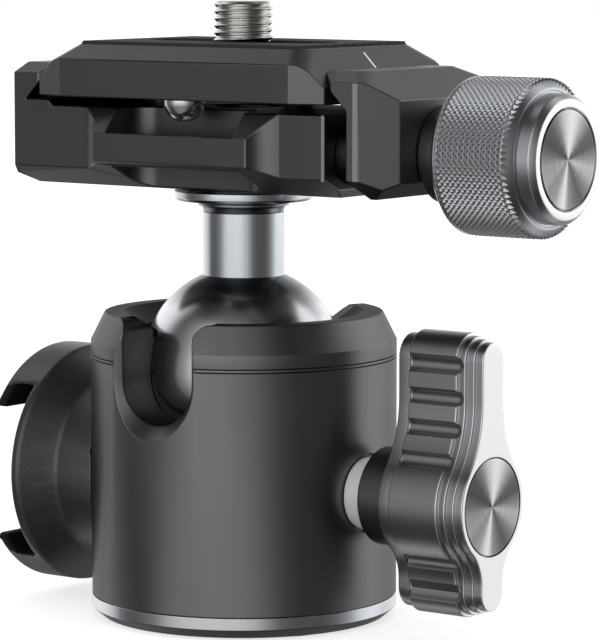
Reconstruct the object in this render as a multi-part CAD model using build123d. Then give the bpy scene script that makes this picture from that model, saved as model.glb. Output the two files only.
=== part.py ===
from build123d import *
import math
import os

# Tripod ball head with a dovetail clamp and plate, in millimetres.
# The origin is on the housing's axis, in the plane of the base. +X points at the two
# knobs, -Y and +Y at the two drop notches, +Z up.

os.makedirs("parts", exist_ok=True)

# Clearances
seat_gap = 0.02          # pieces that are screwed or pressed together
run_gap = 0.05           # pieces that turn or slide on each other
past = 2.0               # how far a cutting tool runs past the face it cuts

# Ball and stem
ball_gap = 1.6           # bore to ball
ball_sink = 6.15         # rim to ball centre
stem_radius = 4.4
collar_radius = 4.55
collar_height = 1.35
flange_radius = 7.45
flange_height = 1.3
flange_edge = 0.3
stem_length = 16.8       # ball centre to the collar

# Housing
housing_radius = 16.5
housing_wall = 3.9       # outside to bore
rim_taper = 1.5
rim_land = 2.0
rim_height = 3.0         # rim to where the outside starts to taper
throat_step = 2.1        # bore to the throat over the seat ring
throat_height = 0.7
seat_height = 3.9        # ball centre to the shoulder over the seat ring
groove_drop = 4.85       # rim to the groove's lower edge
groove_width = 0.5
groove_depth = 0.35
notch_half = 4.6
notch_drop = 0.16        # ball centre to the centre of the notch's round bottom
notch_flare = 1.5
notch_bevel_depth = 1.5  # how deep the 45 degree bevel round the notch starts

# Base
base_flange = 2.3
base_edge = 0.97         # height of the chamfer under the bright band
base_edge_run = 1.14
channel_depth = 3.2      # lock axis to the floor that the wedge slides on
spigot_drop = 1.9        # lock axis to the spigot's top
bush_radius = 6.5
bush_height = 9.0
tripod_thread_radius = 3.97   # 3/8-16 tapped hole
tripod_thread_depth = 8.0
base_screw_count = 3
base_screw_inset = 1.3   # bore to the screws' circle
base_screw_radius = 0.8
base_screw_head = 1.35
base_screw_head_depth = 0.8
base_screw_length = 7.0

# Lock: cup, wedge, screw and lever, about an axis along X
lock_z = 14.5
lock_pitch = 0.8
cup_lift = 3.1           # lock axis to the cup's underside
cup_drop = 0.1           # ball centre to the cup's top
cup_height = 9.0
cup_hole_inset = 3.8     # ball to the hole in the cup
cup_gap = 0.1            # bore to cup
lug_length = 3.2
lug_inset = 0.4          # wedge's thick end to the lug
lug_half = 3.0
wedge_length = 5.0
wedge_inset = 1.6        # bore to the wedge's thick end
wedge_half = 3.5
wedge_drop = 0.6         # lock axis to the top of the wedge's thin end
wedge_rise = 2.5
lock_screw_radius = 2.5
lock_screw_grip = 7.95   # how far the screw reaches into the lever
lock_bush_radius = 4.2
spot_face_depth = 0.5
washer_radius = 3.81
washer_length = 2.6
boss_radius = 5.21
boss_length = 4.0
lever_length = 9.6
lever_hub_radius = 5.75
lever_arm_half = 2.0
lever_up = 15.1          # axis to the centre of the long arm's round end
lever_down = 8.75
lever_up_fillet = 12.0
lever_down_fillet = 5.0
lever_swell = 0.85       # how far the middle of the lever stands out from its face
lever_steps = 3
lever_step_length = 0.86
lever_lip = 1.1
flute_radius = 1.15
flute_depth = 0.7
flute_pitch = 3.4
lever_flutes_up = 4
lever_flutes_down = 2
lever_flute_start_up = 4.4
lever_flute_start_down = 6.1
cap_radius = 5.19
cap_depth = 0.6

# Cold shoe on the far side, about the same axis as the lock
shoe_boss_radius = 10.1
shoe_rim_radius = 13.2
shoe_neck_length = 1.7   # housing to the start of the cone
shoe_cone_length = 2.9
shoe_rim_length = 1.0    # cone to the slot's floor
shoe_slot_depth = 2.45
shoe_slot_half = 9.45    # for an 18.6 mm foot
shoe_lip = 1.35
shoe_mouth_half = 7.0
shoe_screw_spacing = 10.0
shoe_screw_radius = 1.5
shoe_screw_head = 2.7
shoe_screw_head_depth = 1.6
shoe_screw_bite = 2.4    # how far the screws reach into the housing wall

# Clamp
clamp_inset = 1.46       # plate's front to the clamp's front
fixed_jaw_width = 3.97   # plate's edge to the clamp's -X end
clamp_short = 0.25       # plate's edge to the clamp's +X end
lip_half_width = 10.2
lip_reach = 2.1          # how far the lips stand out of the clamp's front
lip_ramp = 2.8
clamp_height = 8.7       # underside to deck
deck_step = 0.55
deck_step_inset = 1.5
jaw_height = 13.2        # underside to the top of the jaws
bevel_height = 3.05      # bottom bevel under the lip
bevel_run = 6.3
end_bevel_height = 1.8
end_bevel_run = 3.7
lip_drop = 2.6           # deck to the lip's top edge
top_chamfer_height = 1.05
top_chamfer_run = 2.4
jaw_tip_chamfer = 2.1
pocket_half = 8.45
pocket_room = 0.85       # stop screw to the window's inner wall
lip_wall = 1.1
pocket_corner = 2.4
knob_rise = 4.5          # clamp underside to the knob's axis
clamp_bolt_radius = 2.5
clamp_bolt_head = 4.4
clamp_bolt_recess = 0.5
clamp_bolt_key = 1.7          # hexagon's centre to its corners
clamp_bolt_key_depth = 2.4
clamp_bolt_bite = 9.5

# Moving jaw, its guides and the clamp knob
jaw_gap = 2.7            # fixed body to moving jaw
jaw_thickness = 4.55
jaw_corner = 3.1
jaw_top_flat = 4.5
jaw_shoulder = 2.9       # how far the jaw's outer edge lies under its top
guide_radius = 3.0
guide_spacing = 12.3
guide_reach = 8.35       # how far the pins reach into the clamp body
guide_gap = 0.06
guide_bore_extra = 0.8
guide_wall = 0.8
stud_radius = 2.5
stud_reach = 9.65
stud_hole_gap = 0.1
stud_short = 3.6         # stud's end to the knob's end
knob_collar_radius = 5.05
knob_collar_length = 3.3
knob_radius = 8.15
knob_start_edge = 0.75
knob_grip_length = 8.8
knob_shoulder = 0.9
knob_boss_radius = 6.65
knob_boss_length = 2.05
knob_boss_edge = 0.5
knob_insert_radius = 3.6
knob_insert_length = 8.4

# Plate
plate_half_width = 19.0
plate_half_depth = 12.46
plate_height = 5.55
plate_lift = 1.05        # deck to the plate's underside
plate_side = 1.7         # height of the plate's upright edge under its bevel
plate_corner_width = 3.8
plate_corner_depth = 1.08
plate_top_run = 2.46
plate_top_drop = 1.52
dovetail_gap = 0.1
pad_inset_x = 0.7
pad_inset_y = 0.3
pad_thickness = 0.35
slot_travel = 8.2        # how far the camera screw moves either way
slot_half_width = 3.55   # the upper slot, for the screw's thread
slot_depth = 1.5
stop_inset = 2.26        # plate's front to the stop screw's axis
stop_radius = 2.25
stop_height = 2.4
stop_shank_radius = 1.2
stop_shank_length = 3.6
camera_thread_radius = 3.175  # 1/4-20
camera_thread_top = 4.25      # how far it stands out of the pad
camera_thread_edge = 0.5
camera_neck_radius = 2.45
camera_head_radius = 5.5
camera_head_height = 1.6
camera_head_lift = 0.2        # plate underside to the head
camera_gap = 0.15             # neck and head to the slots they run in
screw_washer_radius = 4.6
screw_washer_height = 0.5
camera_slot_width = 1.4
camera_slot_depth = 0.8

# Heights and places that follow from the sizes above
bore_radius = housing_radius - housing_wall
ball_radius = bore_radius - ball_gap
channel_floor = lock_z - channel_depth
spigot_top = lock_z - spigot_drop
wedge_tip_z = lock_z - wedge_drop
cup_bottom = lock_z + cup_lift
cup_top = cup_bottom + cup_height
ball_z = cup_top + cup_drop
rim_z = ball_z + ball_sink
notch_z = ball_z - notch_drop
cup_hole_radius = ball_radius - cup_hole_inset
throat_radius = bore_radius - throat_step
cone_z = rim_z - rim_height
groove_z = rim_z - groove_drop
rim_radius = housing_radius - rim_taper
rim_inner_radius = rim_radius - rim_land
base_face_radius = housing_radius - base_edge_run
base_screw_ring = bore_radius + base_screw_inset
wedge_end = bore_radius - wedge_inset
wedge_start = wedge_end - wedge_length
wedge_slope = wedge_rise / wedge_length
lug_end = wedge_end - lug_inset
lug_start = lug_end - lug_length
spot_face_x = housing_radius - spot_face_depth
shoe_cone_start = housing_radius + shoe_neck_length
shoe_cone_end = shoe_cone_start + shoe_cone_length
shoe_floor = shoe_cone_end + shoe_rim_length
clamp_half_depth = plate_half_depth - clamp_inset
clamp_left = plate_half_width + fixed_jaw_width
clamp_right = plate_half_width - clamp_short
lip_half_depth = clamp_half_depth + lip_reach
ramp_end = lip_half_width + lip_ramp
deck_step_x = plate_half_width - deck_step_inset
stop_y = plate_half_depth - stop_inset
pocket_inner = stop_y - stop_radius - pocket_room
pocket_outer = lip_half_depth - lip_wall
collar_z = ball_z + stem_length
flange_z = collar_z + collar_height
clamp_z = flange_z + flange_height + run_gap
deck_z = clamp_z + clamp_height
jaw_z = clamp_z + jaw_height
knob_z = clamp_z + knob_rise
plate_z = deck_z + plate_lift
plate_top = plate_z + plate_height
pad_top = plate_top + pad_thickness
camera_head_z = plate_z + camera_head_lift
screw_washer_z = camera_head_z + camera_head_height + run_gap
ledge_z = screw_washer_z + screw_washer_height + run_gap
ledge_top = plate_top - slot_depth
bevel_z = plate_z + plate_side
shoulder_z = ball_z + seat_height
washer_end = spot_face_x + washer_length
boss_start = washer_end + run_gap
lever_start = boss_start + boss_length
lock_screw_end = lever_start + lock_screw_grip
jaw_inner = clamp_right + jaw_gap
jaw_outer = jaw_inner + jaw_thickness
guide_start = clamp_right - guide_reach
guide_corner = guide_spacing / 2 + guide_radius - (clamp_half_depth - jaw_corner)
guide_end = jaw_outer - guide_corner - guide_wall
stud_start = clamp_right - stud_reach
collar_start = jaw_outer + run_gap
knob_start = collar_start + knob_collar_length
knob_end = knob_start + knob_grip_length + knob_boss_length + knob_shoulder
stud_end = knob_end - stud_short
dovetail_shift = dovetail_gap * math.sqrt(2)


def prism_x(points, low, high):
    """A solid along X from points given as (y, z)."""
    return extrude(Plane.YZ.offset(low) * make_face(Polyline(*points, close=True)), high - low)


def prism_y(points, low, high):
    """A solid along Y from points given as (x, z)."""
    return extrude(Plane.XZ.offset(-high) * make_face(Polyline(*points, close=True)), high - low)


def prism_z(points, low, high):
    """A solid along Z from points given as (x, y)."""
    return extrude(Plane.XY.offset(low) * make_face(Polyline(*points, close=True)), high - low)


def rod_x(radius, low, high, z, y=0):
    return extrude(Plane.YZ.offset(low) * Pos(y, z) * Circle(radius), high - low)


def rod_z(radius, low, high, x=0, y=0):
    return extrude(Plane.XY.offset(low) * Pos(x, y) * Circle(radius), high - low)


def turned_z(points):
    """A turned solid about Z from points given as (radius, z)."""
    return revolve(Plane.XZ * make_face(Polyline(*points, close=True)), Axis.Z)


def turned_x(points, z):
    """A turned solid about the line along X at height z, from points given as (x, radius)."""
    face = make_face(Polyline(*[(x, z + radius) for x, radius in points], close=True))
    return revolve(Plane.XZ * face, Axis((0, 0, z), (1, 0, 0)))


def mirrored(shape, plane):
    return shape + mirror(shape, plane)


def ball_space():
    return Pos(0, 0, ball_z) * Sphere(ball_radius + run_gap)


# ---------------------------------------------------------------- housing and base

def notch():
    """The front drop notch: a round-bottomed slot whose top corners open out."""
    height = rim_z - notch_z
    flare = Pos(notch_half + notch_flare / 2, height - notch_flare / 2)
    flare = flare * Rectangle(notch_flare, notch_flare)
    flare -= Pos(notch_half + notch_flare, height - notch_flare) * Circle(notch_flare)
    outline = Circle(notch_half) + Pos(0, (height + past) / 2) * Rectangle(2 * notch_half, height + past)
    outline += flare + mirror(flare, Plane.YZ)
    outline += Pos(0, height + past / 2) * Rectangle(2 * (notch_half + notch_flare), past)
    return extrude(Plane.XZ * Pos(0, notch_z) * outline, housing_radius + past)


def notch_bevel():
    """Opens the front notch towards the outside, from an upright plane just inside the wall."""
    start = housing_radius - notch_bevel_depth
    reach = notch_bevel_depth + past
    wide = notch_half + reach
    round_end = Pos(0, -start - reach / 2, notch_z) * Rot(90, 0, 0) * Cone(notch_half, wide, reach)
    sides = [(-notch_half, -start), (notch_half, -start), (wide, -start - reach), (-wide, -start - reach)]
    return round_end + prism_z(sides, notch_z, rim_z + past)


def screw_places(count, ring, turn):
    for number in range(count):
        angle = math.radians(turn + 360 * number / count)
        yield ring * math.cos(angle), ring * math.sin(angle)


def shoe_screw_ys():
    return -shoe_screw_spacing / 2, shoe_screw_spacing / 2


def shoe_screw_tip(y):
    return math.sqrt(housing_radius ** 2 - y ** 2) - shoe_screw_bite


def make_housing():
    body = turned_z([
        (bore_radius, base_flange), (housing_radius, base_flange), (housing_radius, cone_z),
        (rim_radius, rim_z), (rim_inner_radius, rim_z), (throat_radius, shoulder_z + throat_height),
        (throat_radius, shoulder_z), (bore_radius, shoulder_z)])
    body -= turned_z([
        (housing_radius - groove_depth, groove_z), (housing_radius + past, groove_z),
        (housing_radius + past, groove_z + groove_width),
        (housing_radius - groove_depth, groove_z + groove_width)])
    for turn in (0, 180):
        body -= Rot(0, 0, turn) * notch()
        body -= Rot(0, 0, turn) * notch_bevel()
    body -= rod_x(lock_bush_radius + seat_gap, 0, housing_radius + past, lock_z)
    for x, y in screw_places(base_screw_count, base_screw_ring, 90):
        body -= rod_z(base_screw_radius + seat_gap, 0, base_screw_length + seat_gap, x, y)
    for y in shoe_screw_ys():
        tip = shoe_screw_tip(y) - seat_gap
        body -= rod_x(shoe_screw_radius + seat_gap, -housing_radius - past, -tip, lock_z, y)
    return body


def make_seat_ring():
    body = rod_z(bore_radius - seat_gap, ball_z, shoulder_z - seat_gap) - ball_space()
    return list((body - notch() - Rot(0, 0, 180) * notch()).solids())


def make_base_plate():
    spigot = bore_radius - seat_gap
    body = turned_z([
        (0, 0), (base_face_radius, 0), (housing_radius, base_edge),
        (housing_radius, base_flange - seat_gap), (spigot, base_flange - seat_gap),
        (spigot, spigot_top), (0, spigot_top)])
    half = wedge_half + run_gap
    body -= Pos(0, 0, channel_floor) * extrude(Rectangle(2 * bore_radius, 2 * half), past + spigot_top)
    body -= rod_z(bush_radius + seat_gap, -past, bush_height + seat_gap)
    for x, y in screw_places(base_screw_count, base_screw_ring, 90):
        body -= countersunk_z(seat_gap, x, y)
    return body


def countersunk_z(gap, x, y):
    """A base screw, or with a gap the hole for it. Its head faces down."""
    points = [(0, 0), (base_screw_head + gap, 0), (base_screw_radius + gap, base_screw_head_depth + gap),
              (base_screw_radius + gap, base_screw_length), (0, base_screw_length)]
    return Pos(x, y, 0) * turned_z(points)


def make_base_screws():
    return [countersunk_z(0, x, y) for x, y in screw_places(base_screw_count, base_screw_ring, 90)]


def make_base_bush():
    return rod_z(bush_radius, 0, bush_height) - rod_z(tripod_thread_radius, -past, tripod_thread_depth)


# ---------------------------------------------------------------- cold shoe

def countersunk_x(gap, y):
    """A shoe screw, or with a gap the hole for it. Its head faces -X."""
    head = shoe_screw_head_depth + gap
    points = [(-shoe_floor, 0), (-shoe_floor, shoe_screw_head + gap),
              (-shoe_floor + head, shoe_screw_radius + gap),
              (-shoe_screw_tip(y), shoe_screw_radius + gap), (-shoe_screw_tip(y), 0)]
    return Pos(0, y, 0) * turned_x(points, lock_z)


def make_cold_shoe():
    back = shoe_floor + shoe_slot_depth
    outer = back + shoe_lip
    body = turned_x([
        (0, 0), (0, shoe_boss_radius), (-shoe_cone_start, shoe_boss_radius),
        (-shoe_cone_end, shoe_rim_radius), (-outer, shoe_rim_radius), (-outer, 0)], lock_z)
    body -= rod_z(housing_radius + seat_gap, -past, rim_z)
    reach = shoe_rim_radius + past
    slot = [(-back, lock_z - shoe_slot_half), (-shoe_floor, lock_z - shoe_slot_half),
            (-shoe_floor, lock_z + shoe_slot_half), (-back, lock_z + shoe_slot_half)]
    mouth = [(-outer - past, lock_z - shoe_mouth_half), (-shoe_floor, lock_z - shoe_mouth_half),
             (-shoe_floor, lock_z + shoe_mouth_half), (-outer - past, lock_z + shoe_mouth_half)]
    body -= prism_y(slot, -reach, reach)
    body -= prism_y(mouth, -reach, reach)
    for y in shoe_screw_ys():
        body -= countersunk_x(seat_gap, y)
    return body


def make_shoe_screws():
    return [countersunk_x(0, y) for y in shoe_screw_ys()]


# ---------------------------------------------------------------- lock

def wedge_height(x):
    return wedge_tip_z + (x - wedge_start) * wedge_slope


def make_pressure_cup():
    body = rod_z(bore_radius - cup_gap, cup_bottom, cup_top)
    body -= rod_z(cup_hole_radius, cup_bottom - past, cup_top + past)
    lug = [(lug_start, wedge_height(lug_start) + run_gap), (lug_end, wedge_height(lug_end) + run_gap),
           (lug_end, cup_bottom + seat_gap), (lug_start, cup_bottom + seat_gap)]
    return body + prism_y(lug, -lug_half, lug_half) - ball_space() - notch() - Rot(0, 0, 180) * notch()


def make_lock_wedge():
    low = channel_floor + run_gap
    points = [(wedge_start, low), (wedge_end, low), (wedge_end, wedge_height(wedge_end)),
              (wedge_start, wedge_tip_z)]
    return prism_y(points, -wedge_half, wedge_half)


def make_lock_screw():
    return rod_x(lock_screw_radius, wedge_end + run_gap, lock_screw_end, lock_z)


def make_lock_bush():
    body = rod_x(lock_bush_radius, bore_radius + run_gap, spot_face_x, lock_z)
    return body - rod_x(lock_screw_radius + run_gap, 0, housing_radius + past, lock_z)


def make_lock_washer():
    body = rod_x(washer_radius, spot_face_x + seat_gap, washer_end, lock_z)
    return body - rod_x(lock_screw_radius + run_gap, 0, washer_end + past, lock_z)


def make_lock_boss():
    body = rod_x(boss_radius, boss_start, lever_start - seat_gap, lock_z)
    return body - rod_x(lock_screw_radius + seat_gap, 0, lever_start + past, lock_z)


def lever_outline(swell):
    """The lever's shape seen along X: a round hub with a long and a short arm."""
    hub = Circle(lever_hub_radius + swell)
    half = lever_arm_half + swell
    shapes = hub
    for side, reach, fillet in ((1, lever_up, lever_up_fillet), (-1, lever_down, lever_down_fillet)):
        radius = fillet - swell
        out = half + radius
        span = lever_hub_radius + swell + radius
        tangent = math.sqrt(span ** 2 - out ** 2)
        web = Polyline((0, 0), (out, side * tangent), (half, side * tangent),
                       (-half, side * tangent), (-out, side * tangent), close=True)
        neck = make_face(web)
        for way in (1, -1):
            neck -= Pos(way * out, side * tangent) * Circle(radius)
        end = max(reach, tangent)
        arm = Pos(0, side * (tangent + end) / 2) * Rectangle(2 * half, end - tangent + 2 * seat_gap)
        shapes = shapes + neck + arm + Pos(0, side * end) * Circle(half)
    return shapes


def lever_layer(swell, low, high):
    return extrude(Plane.YZ.offset(low) * Pos(0, lock_z) * lever_outline(swell), high - low)


def lever_flutes():
    """Grooves across the long edges of the lever, for the fingers."""
    half = lever_arm_half + lever_swell
    end = lever_start + lever_length - lever_steps * lever_step_length
    places = [lock_z + lever_flute_start_up + number * flute_pitch for number in range(lever_flutes_up)]
    places += [lock_z - lever_flute_start_down - number * flute_pitch for number in range(lever_flutes_down)]
    for z in places:
        rise = abs(z - lock_z)
        edge = max(half, math.sqrt(max((lever_hub_radius + lever_swell) ** 2 - rise ** 2, 0)))
        for way in (1, -1):
            y = way * (edge + flute_radius - flute_depth)
            groove = rod_x(flute_radius, lever_start - past, end - flute_radius, z, y)
            yield groove + Pos(end - flute_radius, y, z) * Sphere(flute_radius)


def make_lock_lever():
    face = lever_start + lever_length
    step = lever_swell / lever_steps
    first = face - lever_steps * lever_step_length
    body = lever_layer(lever_swell - step, lever_start, lever_start + lever_lip)
    body += lever_layer(lever_swell, lever_start + lever_lip, first)
    for number in range(lever_steps):
        low = first + number * lever_step_length
        body += lever_layer(lever_swell - (number + 1) * step, low, low + lever_step_length)
    for groove in lever_flutes():
        body -= groove
    body -= rod_x(lock_screw_radius + seat_gap, 0, lock_screw_end + seat_gap, lock_z)
    body -= rod_x(cap_radius + seat_gap, face - cap_depth - seat_gap, face + past, lock_z)
    return body


def make_lock_cap():
    face = lever_start + lever_length
    return rod_x(cap_radius, face - cap_depth, face, lock_z)


# ---------------------------------------------------------------- ball and stem

def make_ball_stem():
    top = flange_z + flange_height
    stem = turned_z([
        (0, ball_z), (stem_radius, ball_z), (stem_radius, collar_z), (collar_radius, collar_z),
        (collar_radius, flange_z), (flange_radius - flange_edge, flange_z),
        (flange_radius, flange_z + flange_edge), (flange_radius, top - flange_edge),
        (flange_radius - flange_edge, top), (0, top)])
    body = Pos(0, 0, ball_z) * Sphere(ball_radius) + stem
    return body - rod_z(clamp_bolt_radius + run_gap, clamp_z - clamp_bolt_bite - run_gap, top + past)


# ---------------------------------------------------------------- clamp

def dovetail_x(z, gap):
    """Half width of the dovetail at a height, with a gap measured along X."""
    return plate_half_width - (z - bevel_z) + gap


def clamp_section(top, half_depth):
    """Outline seen along X, as (y, z), for what lies under the plate."""
    foot = lip_half_depth - bevel_run
    front = [(foot, clamp_z), (lip_half_depth, clamp_z + bevel_height), (lip_half_depth, deck_z - lip_drop),
             (half_depth, deck_z), (half_depth, top - top_chamfer_height),
             (half_depth - top_chamfer_run, top)]
    return front + [(-y, z) for y, z in reversed(front)]


def clamp_plan():
    """Outline seen along Z, with the lip and its ramps at the front and the back."""
    front = [(-clamp_left, -clamp_half_depth), (-ramp_end, -clamp_half_depth),
             (-lip_half_width, -lip_half_depth), (lip_half_width, -lip_half_depth),
             (ramp_end, -clamp_half_depth), (clamp_right, -clamp_half_depth)]
    return front + [(x, -y) for x, y in reversed(front)]


def fixed_jaw_section():
    """Outline seen along Y, as (x, z): the deck, and the fixed jaw at its -X end."""
    low_deck = deck_z + deck_step
    return [(-clamp_left, clamp_z + end_bevel_height), (-clamp_left + end_bevel_run, clamp_z),
            (clamp_right - end_bevel_height / 2, clamp_z), (clamp_right, clamp_z + end_bevel_height / 2),
            (clamp_right, deck_z), (-deck_step_x, deck_z), (-deck_step_x - deck_step, low_deck),
            (-dovetail_x(low_deck, dovetail_shift), low_deck), (-dovetail_x(jaw_z, dovetail_shift), jaw_z),
            (-clamp_left, jaw_z)]


def tip_chamfer(side):
    """Cuts the upright corner off the end of a jaw's tip. side is -1 for the fixed jaw."""
    tip = dovetail_x(jaw_z, dovetail_shift)
    reach = jaw_tip_chamfer + past
    points = [(side * (tip + jaw_tip_chamfer), -clamp_half_depth),
              (side * tip, -clamp_half_depth + jaw_tip_chamfer),
              (side * (tip - past), -clamp_half_depth + reach), (side * (tip - past), -clamp_half_depth - past),
              (side * (tip + jaw_tip_chamfer), -clamp_half_depth - past)]
    return mirrored(prism_z(points, deck_z + deck_step, jaw_z + past), Plane.XZ)


def clamp_pockets():
    """The windows behind the front and rear lips, where the stop screws hang."""
    depth = pocket_outer - pocket_inner
    slot = Pos(0, -pocket_inner - depth / 2) * Rectangle(2 * pocket_half, depth)
    slot = fillet(slot.vertices().group_by(Axis.Y)[-1], pocket_corner)
    cut = extrude(Plane.XY.offset(clamp_z - past) * slot, jaw_height + past)
    mouth = [(-pocket_half, -pocket_outer + seat_gap), (pocket_half, -pocket_outer + seat_gap),
             (pocket_half, -lip_half_depth - past), (-pocket_half, -lip_half_depth - past)]
    return mirrored(cut + prism_z(mouth, deck_z - lip_drop, jaw_z), Plane.XZ)


def clamp_bolt_shape(gap):
    head_top = deck_z - clamp_bolt_recess
    head = clamp_bolt_head - clamp_bolt_radius
    return turned_z([
        (0, clamp_z - clamp_bolt_bite), (clamp_bolt_radius + gap, clamp_z - clamp_bolt_bite),
        (clamp_bolt_radius + gap, head_top - head), (clamp_bolt_head + gap, head_top), (0, head_top)])


def guide_ys():
    return -guide_spacing / 2, guide_spacing / 2


def make_clamp_body():
    body = prism_z(clamp_plan(), clamp_z - past, jaw_z + past)
    body &= prism_x(clamp_section(jaw_z, clamp_half_depth), -clamp_left - past, clamp_right + past)
    body &= prism_y(fixed_jaw_section(), -lip_half_depth - past, lip_half_depth + past)
    body -= tip_chamfer(-1)
    body -= clamp_pockets()
    body -= clamp_bolt_shape(seat_gap)
    body -= rod_z(clamp_bolt_head + seat_gap, deck_z - clamp_bolt_recess, deck_z + past)
    body -= rod_x(stud_radius + seat_gap, stud_start - seat_gap, clamp_right + past, knob_z)
    for y in guide_ys():
        body -= rod_x(guide_radius + guide_gap, guide_start - guide_bore_extra, clamp_right + past, knob_z, y)
    return body


def make_clamp_bolt():
    floor = deck_z - clamp_bolt_recess - clamp_bolt_key_depth
    key = Plane.XY.offset(floor) * RegularPolygon(clamp_bolt_key, 6)
    return clamp_bolt_shape(0) - extrude(key, clamp_bolt_key_depth + past)


def make_clamp_stud():
    return rod_x(stud_radius, stud_start, stud_end, knob_z)


# ---------------------------------------------------------------- moving jaw and knob

def make_clamp_jaw():
    apex = dovetail_x(deck_z + deck_step, dovetail_shift)
    tip = dovetail_x(jaw_z, dovetail_shift)
    foot = deck_z + deck_step - max(jaw_inner - apex, 0)
    section = [(jaw_inner, clamp_z), (jaw_outer - end_bevel_run, clamp_z),
               (jaw_outer, clamp_z + end_bevel_height), (jaw_outer, jaw_z - jaw_shoulder),
               (tip + jaw_top_flat, jaw_z), (tip, jaw_z), (jaw_inner, foot)]
    plan = [(tip - past, -clamp_half_depth), (jaw_outer - jaw_corner, -clamp_half_depth),
            (jaw_outer, -clamp_half_depth + jaw_corner)]
    plan += [(x, -y) for x, y in reversed(plan)]
    body = prism_z(plan, clamp_z - past, jaw_z + past)
    body &= prism_y(section, -clamp_half_depth - past, clamp_half_depth + past)
    body &= prism_x(clamp_section(jaw_z, clamp_half_depth), 0, jaw_outer + past)
    body -= tip_chamfer(1)
    body -= rod_x(stud_radius + stud_hole_gap, 0, jaw_outer + past, knob_z)
    for y in guide_ys():
        body -= rod_x(guide_radius + seat_gap, 0, guide_end + seat_gap, knob_z, y)
    return body


def make_jaw_guides():
    return [rod_x(guide_radius, guide_start, guide_end, knob_z, y) for y in guide_ys()]


def make_knob_collar():
    body = rod_x(knob_collar_radius, collar_start, knob_start - seat_gap, knob_z)
    return body - rod_x(stud_radius + stud_hole_gap, 0, knob_start + past, knob_z)


def make_clamp_knob():
    grip_end = knob_start + knob_grip_length
    boss_start_x = grip_end + knob_shoulder
    body = turned_x([
        (knob_start, 0), (knob_start, knob_radius - knob_start_edge), (knob_start + knob_start_edge, knob_radius),
        (grip_end, knob_radius), (boss_start_x, knob_radius - knob_shoulder),
        (boss_start_x, knob_boss_radius), (knob_end - knob_boss_edge, knob_boss_radius),
        (knob_end, knob_boss_radius - knob_boss_edge), (knob_end, 0)], knob_z)
    body -= rod_x(knob_insert_radius + seat_gap, 0, knob_start + knob_insert_length + 2 * seat_gap, knob_z)
    body -= rod_x(cap_radius + seat_gap, knob_end - cap_depth - seat_gap, knob_end + past, knob_z)
    return body


def make_knob_insert():
    body = rod_x(knob_insert_radius, knob_start + seat_gap, knob_start + knob_insert_length, knob_z)
    return body - rod_x(stud_radius + run_gap, 0, knob_end, knob_z)


def make_knob_cap():
    return rod_x(cap_radius, knob_end - cap_depth, knob_end, knob_z)


# ---------------------------------------------------------------- plate

def slot(half_width, low, high):
    """A slot along X that lets a round piece of nearly its width travel with the camera screw."""
    outline = SlotCenterToCenter(2 * slot_travel, 2 * half_width)
    return extrude(Plane.XY.offset(low) * outline, high - low)


def make_qr_plate():
    top_half = dovetail_x(plate_top, 0)
    section = [(-plate_half_width, plate_z), (plate_half_width, plate_z), (plate_half_width, bevel_z),
               (top_half, plate_top), (-top_half, plate_top), (-plate_half_width, bevel_z)]
    side = [(-plate_half_depth, plate_z), (plate_half_depth, plate_z),
            (plate_half_depth, plate_top - plate_top_drop), (plate_half_depth - plate_top_run, plate_top),
            (-plate_half_depth + plate_top_run, plate_top), (-plate_half_depth, plate_top - plate_top_drop)]
    corner_x = plate_half_width - plate_corner_width
    corner_y = plate_half_depth - plate_corner_depth
    plan = [(corner_x, -plate_half_depth), (plate_half_width, -corner_y), (plate_half_width, corner_y),
            (corner_x, plate_half_depth), (-corner_x, plate_half_depth), (-plate_half_width, corner_y),
            (-plate_half_width, -corner_y), (-corner_x, -plate_half_depth)]
    body = prism_z(plan, plate_z - past, plate_top + past)
    body &= prism_y(section, -plate_half_depth - past, plate_half_depth + past)
    body &= prism_x(side, -plate_half_width - past, plate_half_width + past)
    body -= slot(slot_half_width, ledge_top, plate_top + past)
    body -= slot(camera_neck_radius + camera_gap, ledge_z - past, plate_top)
    body -= slot(camera_head_radius + camera_gap, plate_z - past, ledge_z)
    body -= rod_z(camera_thread_radius + camera_gap, plate_z, plate_top, slot_travel)
    for y in (-stop_y, stop_y):
        body -= rod_z(stop_shank_radius + seat_gap, plate_z - past, plate_z + stop_shank_length + seat_gap, 0, y)
    return body


def make_plate_pad():
    half_x = dovetail_x(plate_top, 0) - pad_inset_x
    half_y = plate_half_depth - plate_top_run - pad_inset_y
    body = extrude(Plane.XY.offset(plate_top) * Rectangle(2 * half_x, 2 * half_y), pad_thickness)
    return body - slot(slot_half_width, plate_z, pad_top + past)


def make_camera_screw():
    head_top = camera_head_z + camera_head_height
    top = pad_top + camera_thread_top
    body = turned_z([
        (0, camera_head_z), (camera_head_radius, camera_head_z), (camera_head_radius, head_top),
        (camera_neck_radius, head_top), (camera_neck_radius, pad_top),
        (camera_thread_radius, pad_top), (camera_thread_radius, top - camera_thread_edge),
        (camera_thread_radius - camera_thread_edge, top), (0, top)])
    coin = Rectangle(2 * camera_head_radius + past, camera_slot_width)
    return body - extrude(Plane.XY.offset(camera_head_z - past) * coin, camera_slot_depth + past)


def make_screw_washer():
    body = rod_z(screw_washer_radius, screw_washer_z, screw_washer_z + screw_washer_height)
    return body - rod_z(camera_neck_radius + run_gap, plate_z, plate_top)


def stop_screw(y):
    """A round-headed screw under the plate. Its head is a cylinder with a domed end."""
    dome = stop_radius
    shank = rod_z(stop_shank_radius, plate_z - seat_gap, plate_z + stop_shank_length, 0, y)
    head = rod_z(stop_radius, plate_z - stop_height + dome, plate_z - seat_gap, 0, y)
    head += Pos(0, y, plate_z - stop_height + dome) * Sphere(stop_radius)
    head &= rod_z(stop_radius + past, plate_z - stop_height - past, plate_z - seat_gap, 0, y)
    return head + shank


def make_stop_screws():
    return [stop_screw(y) for y in (-stop_y, stop_y)]


# ---------------------------------------------------------------- all pieces

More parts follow.
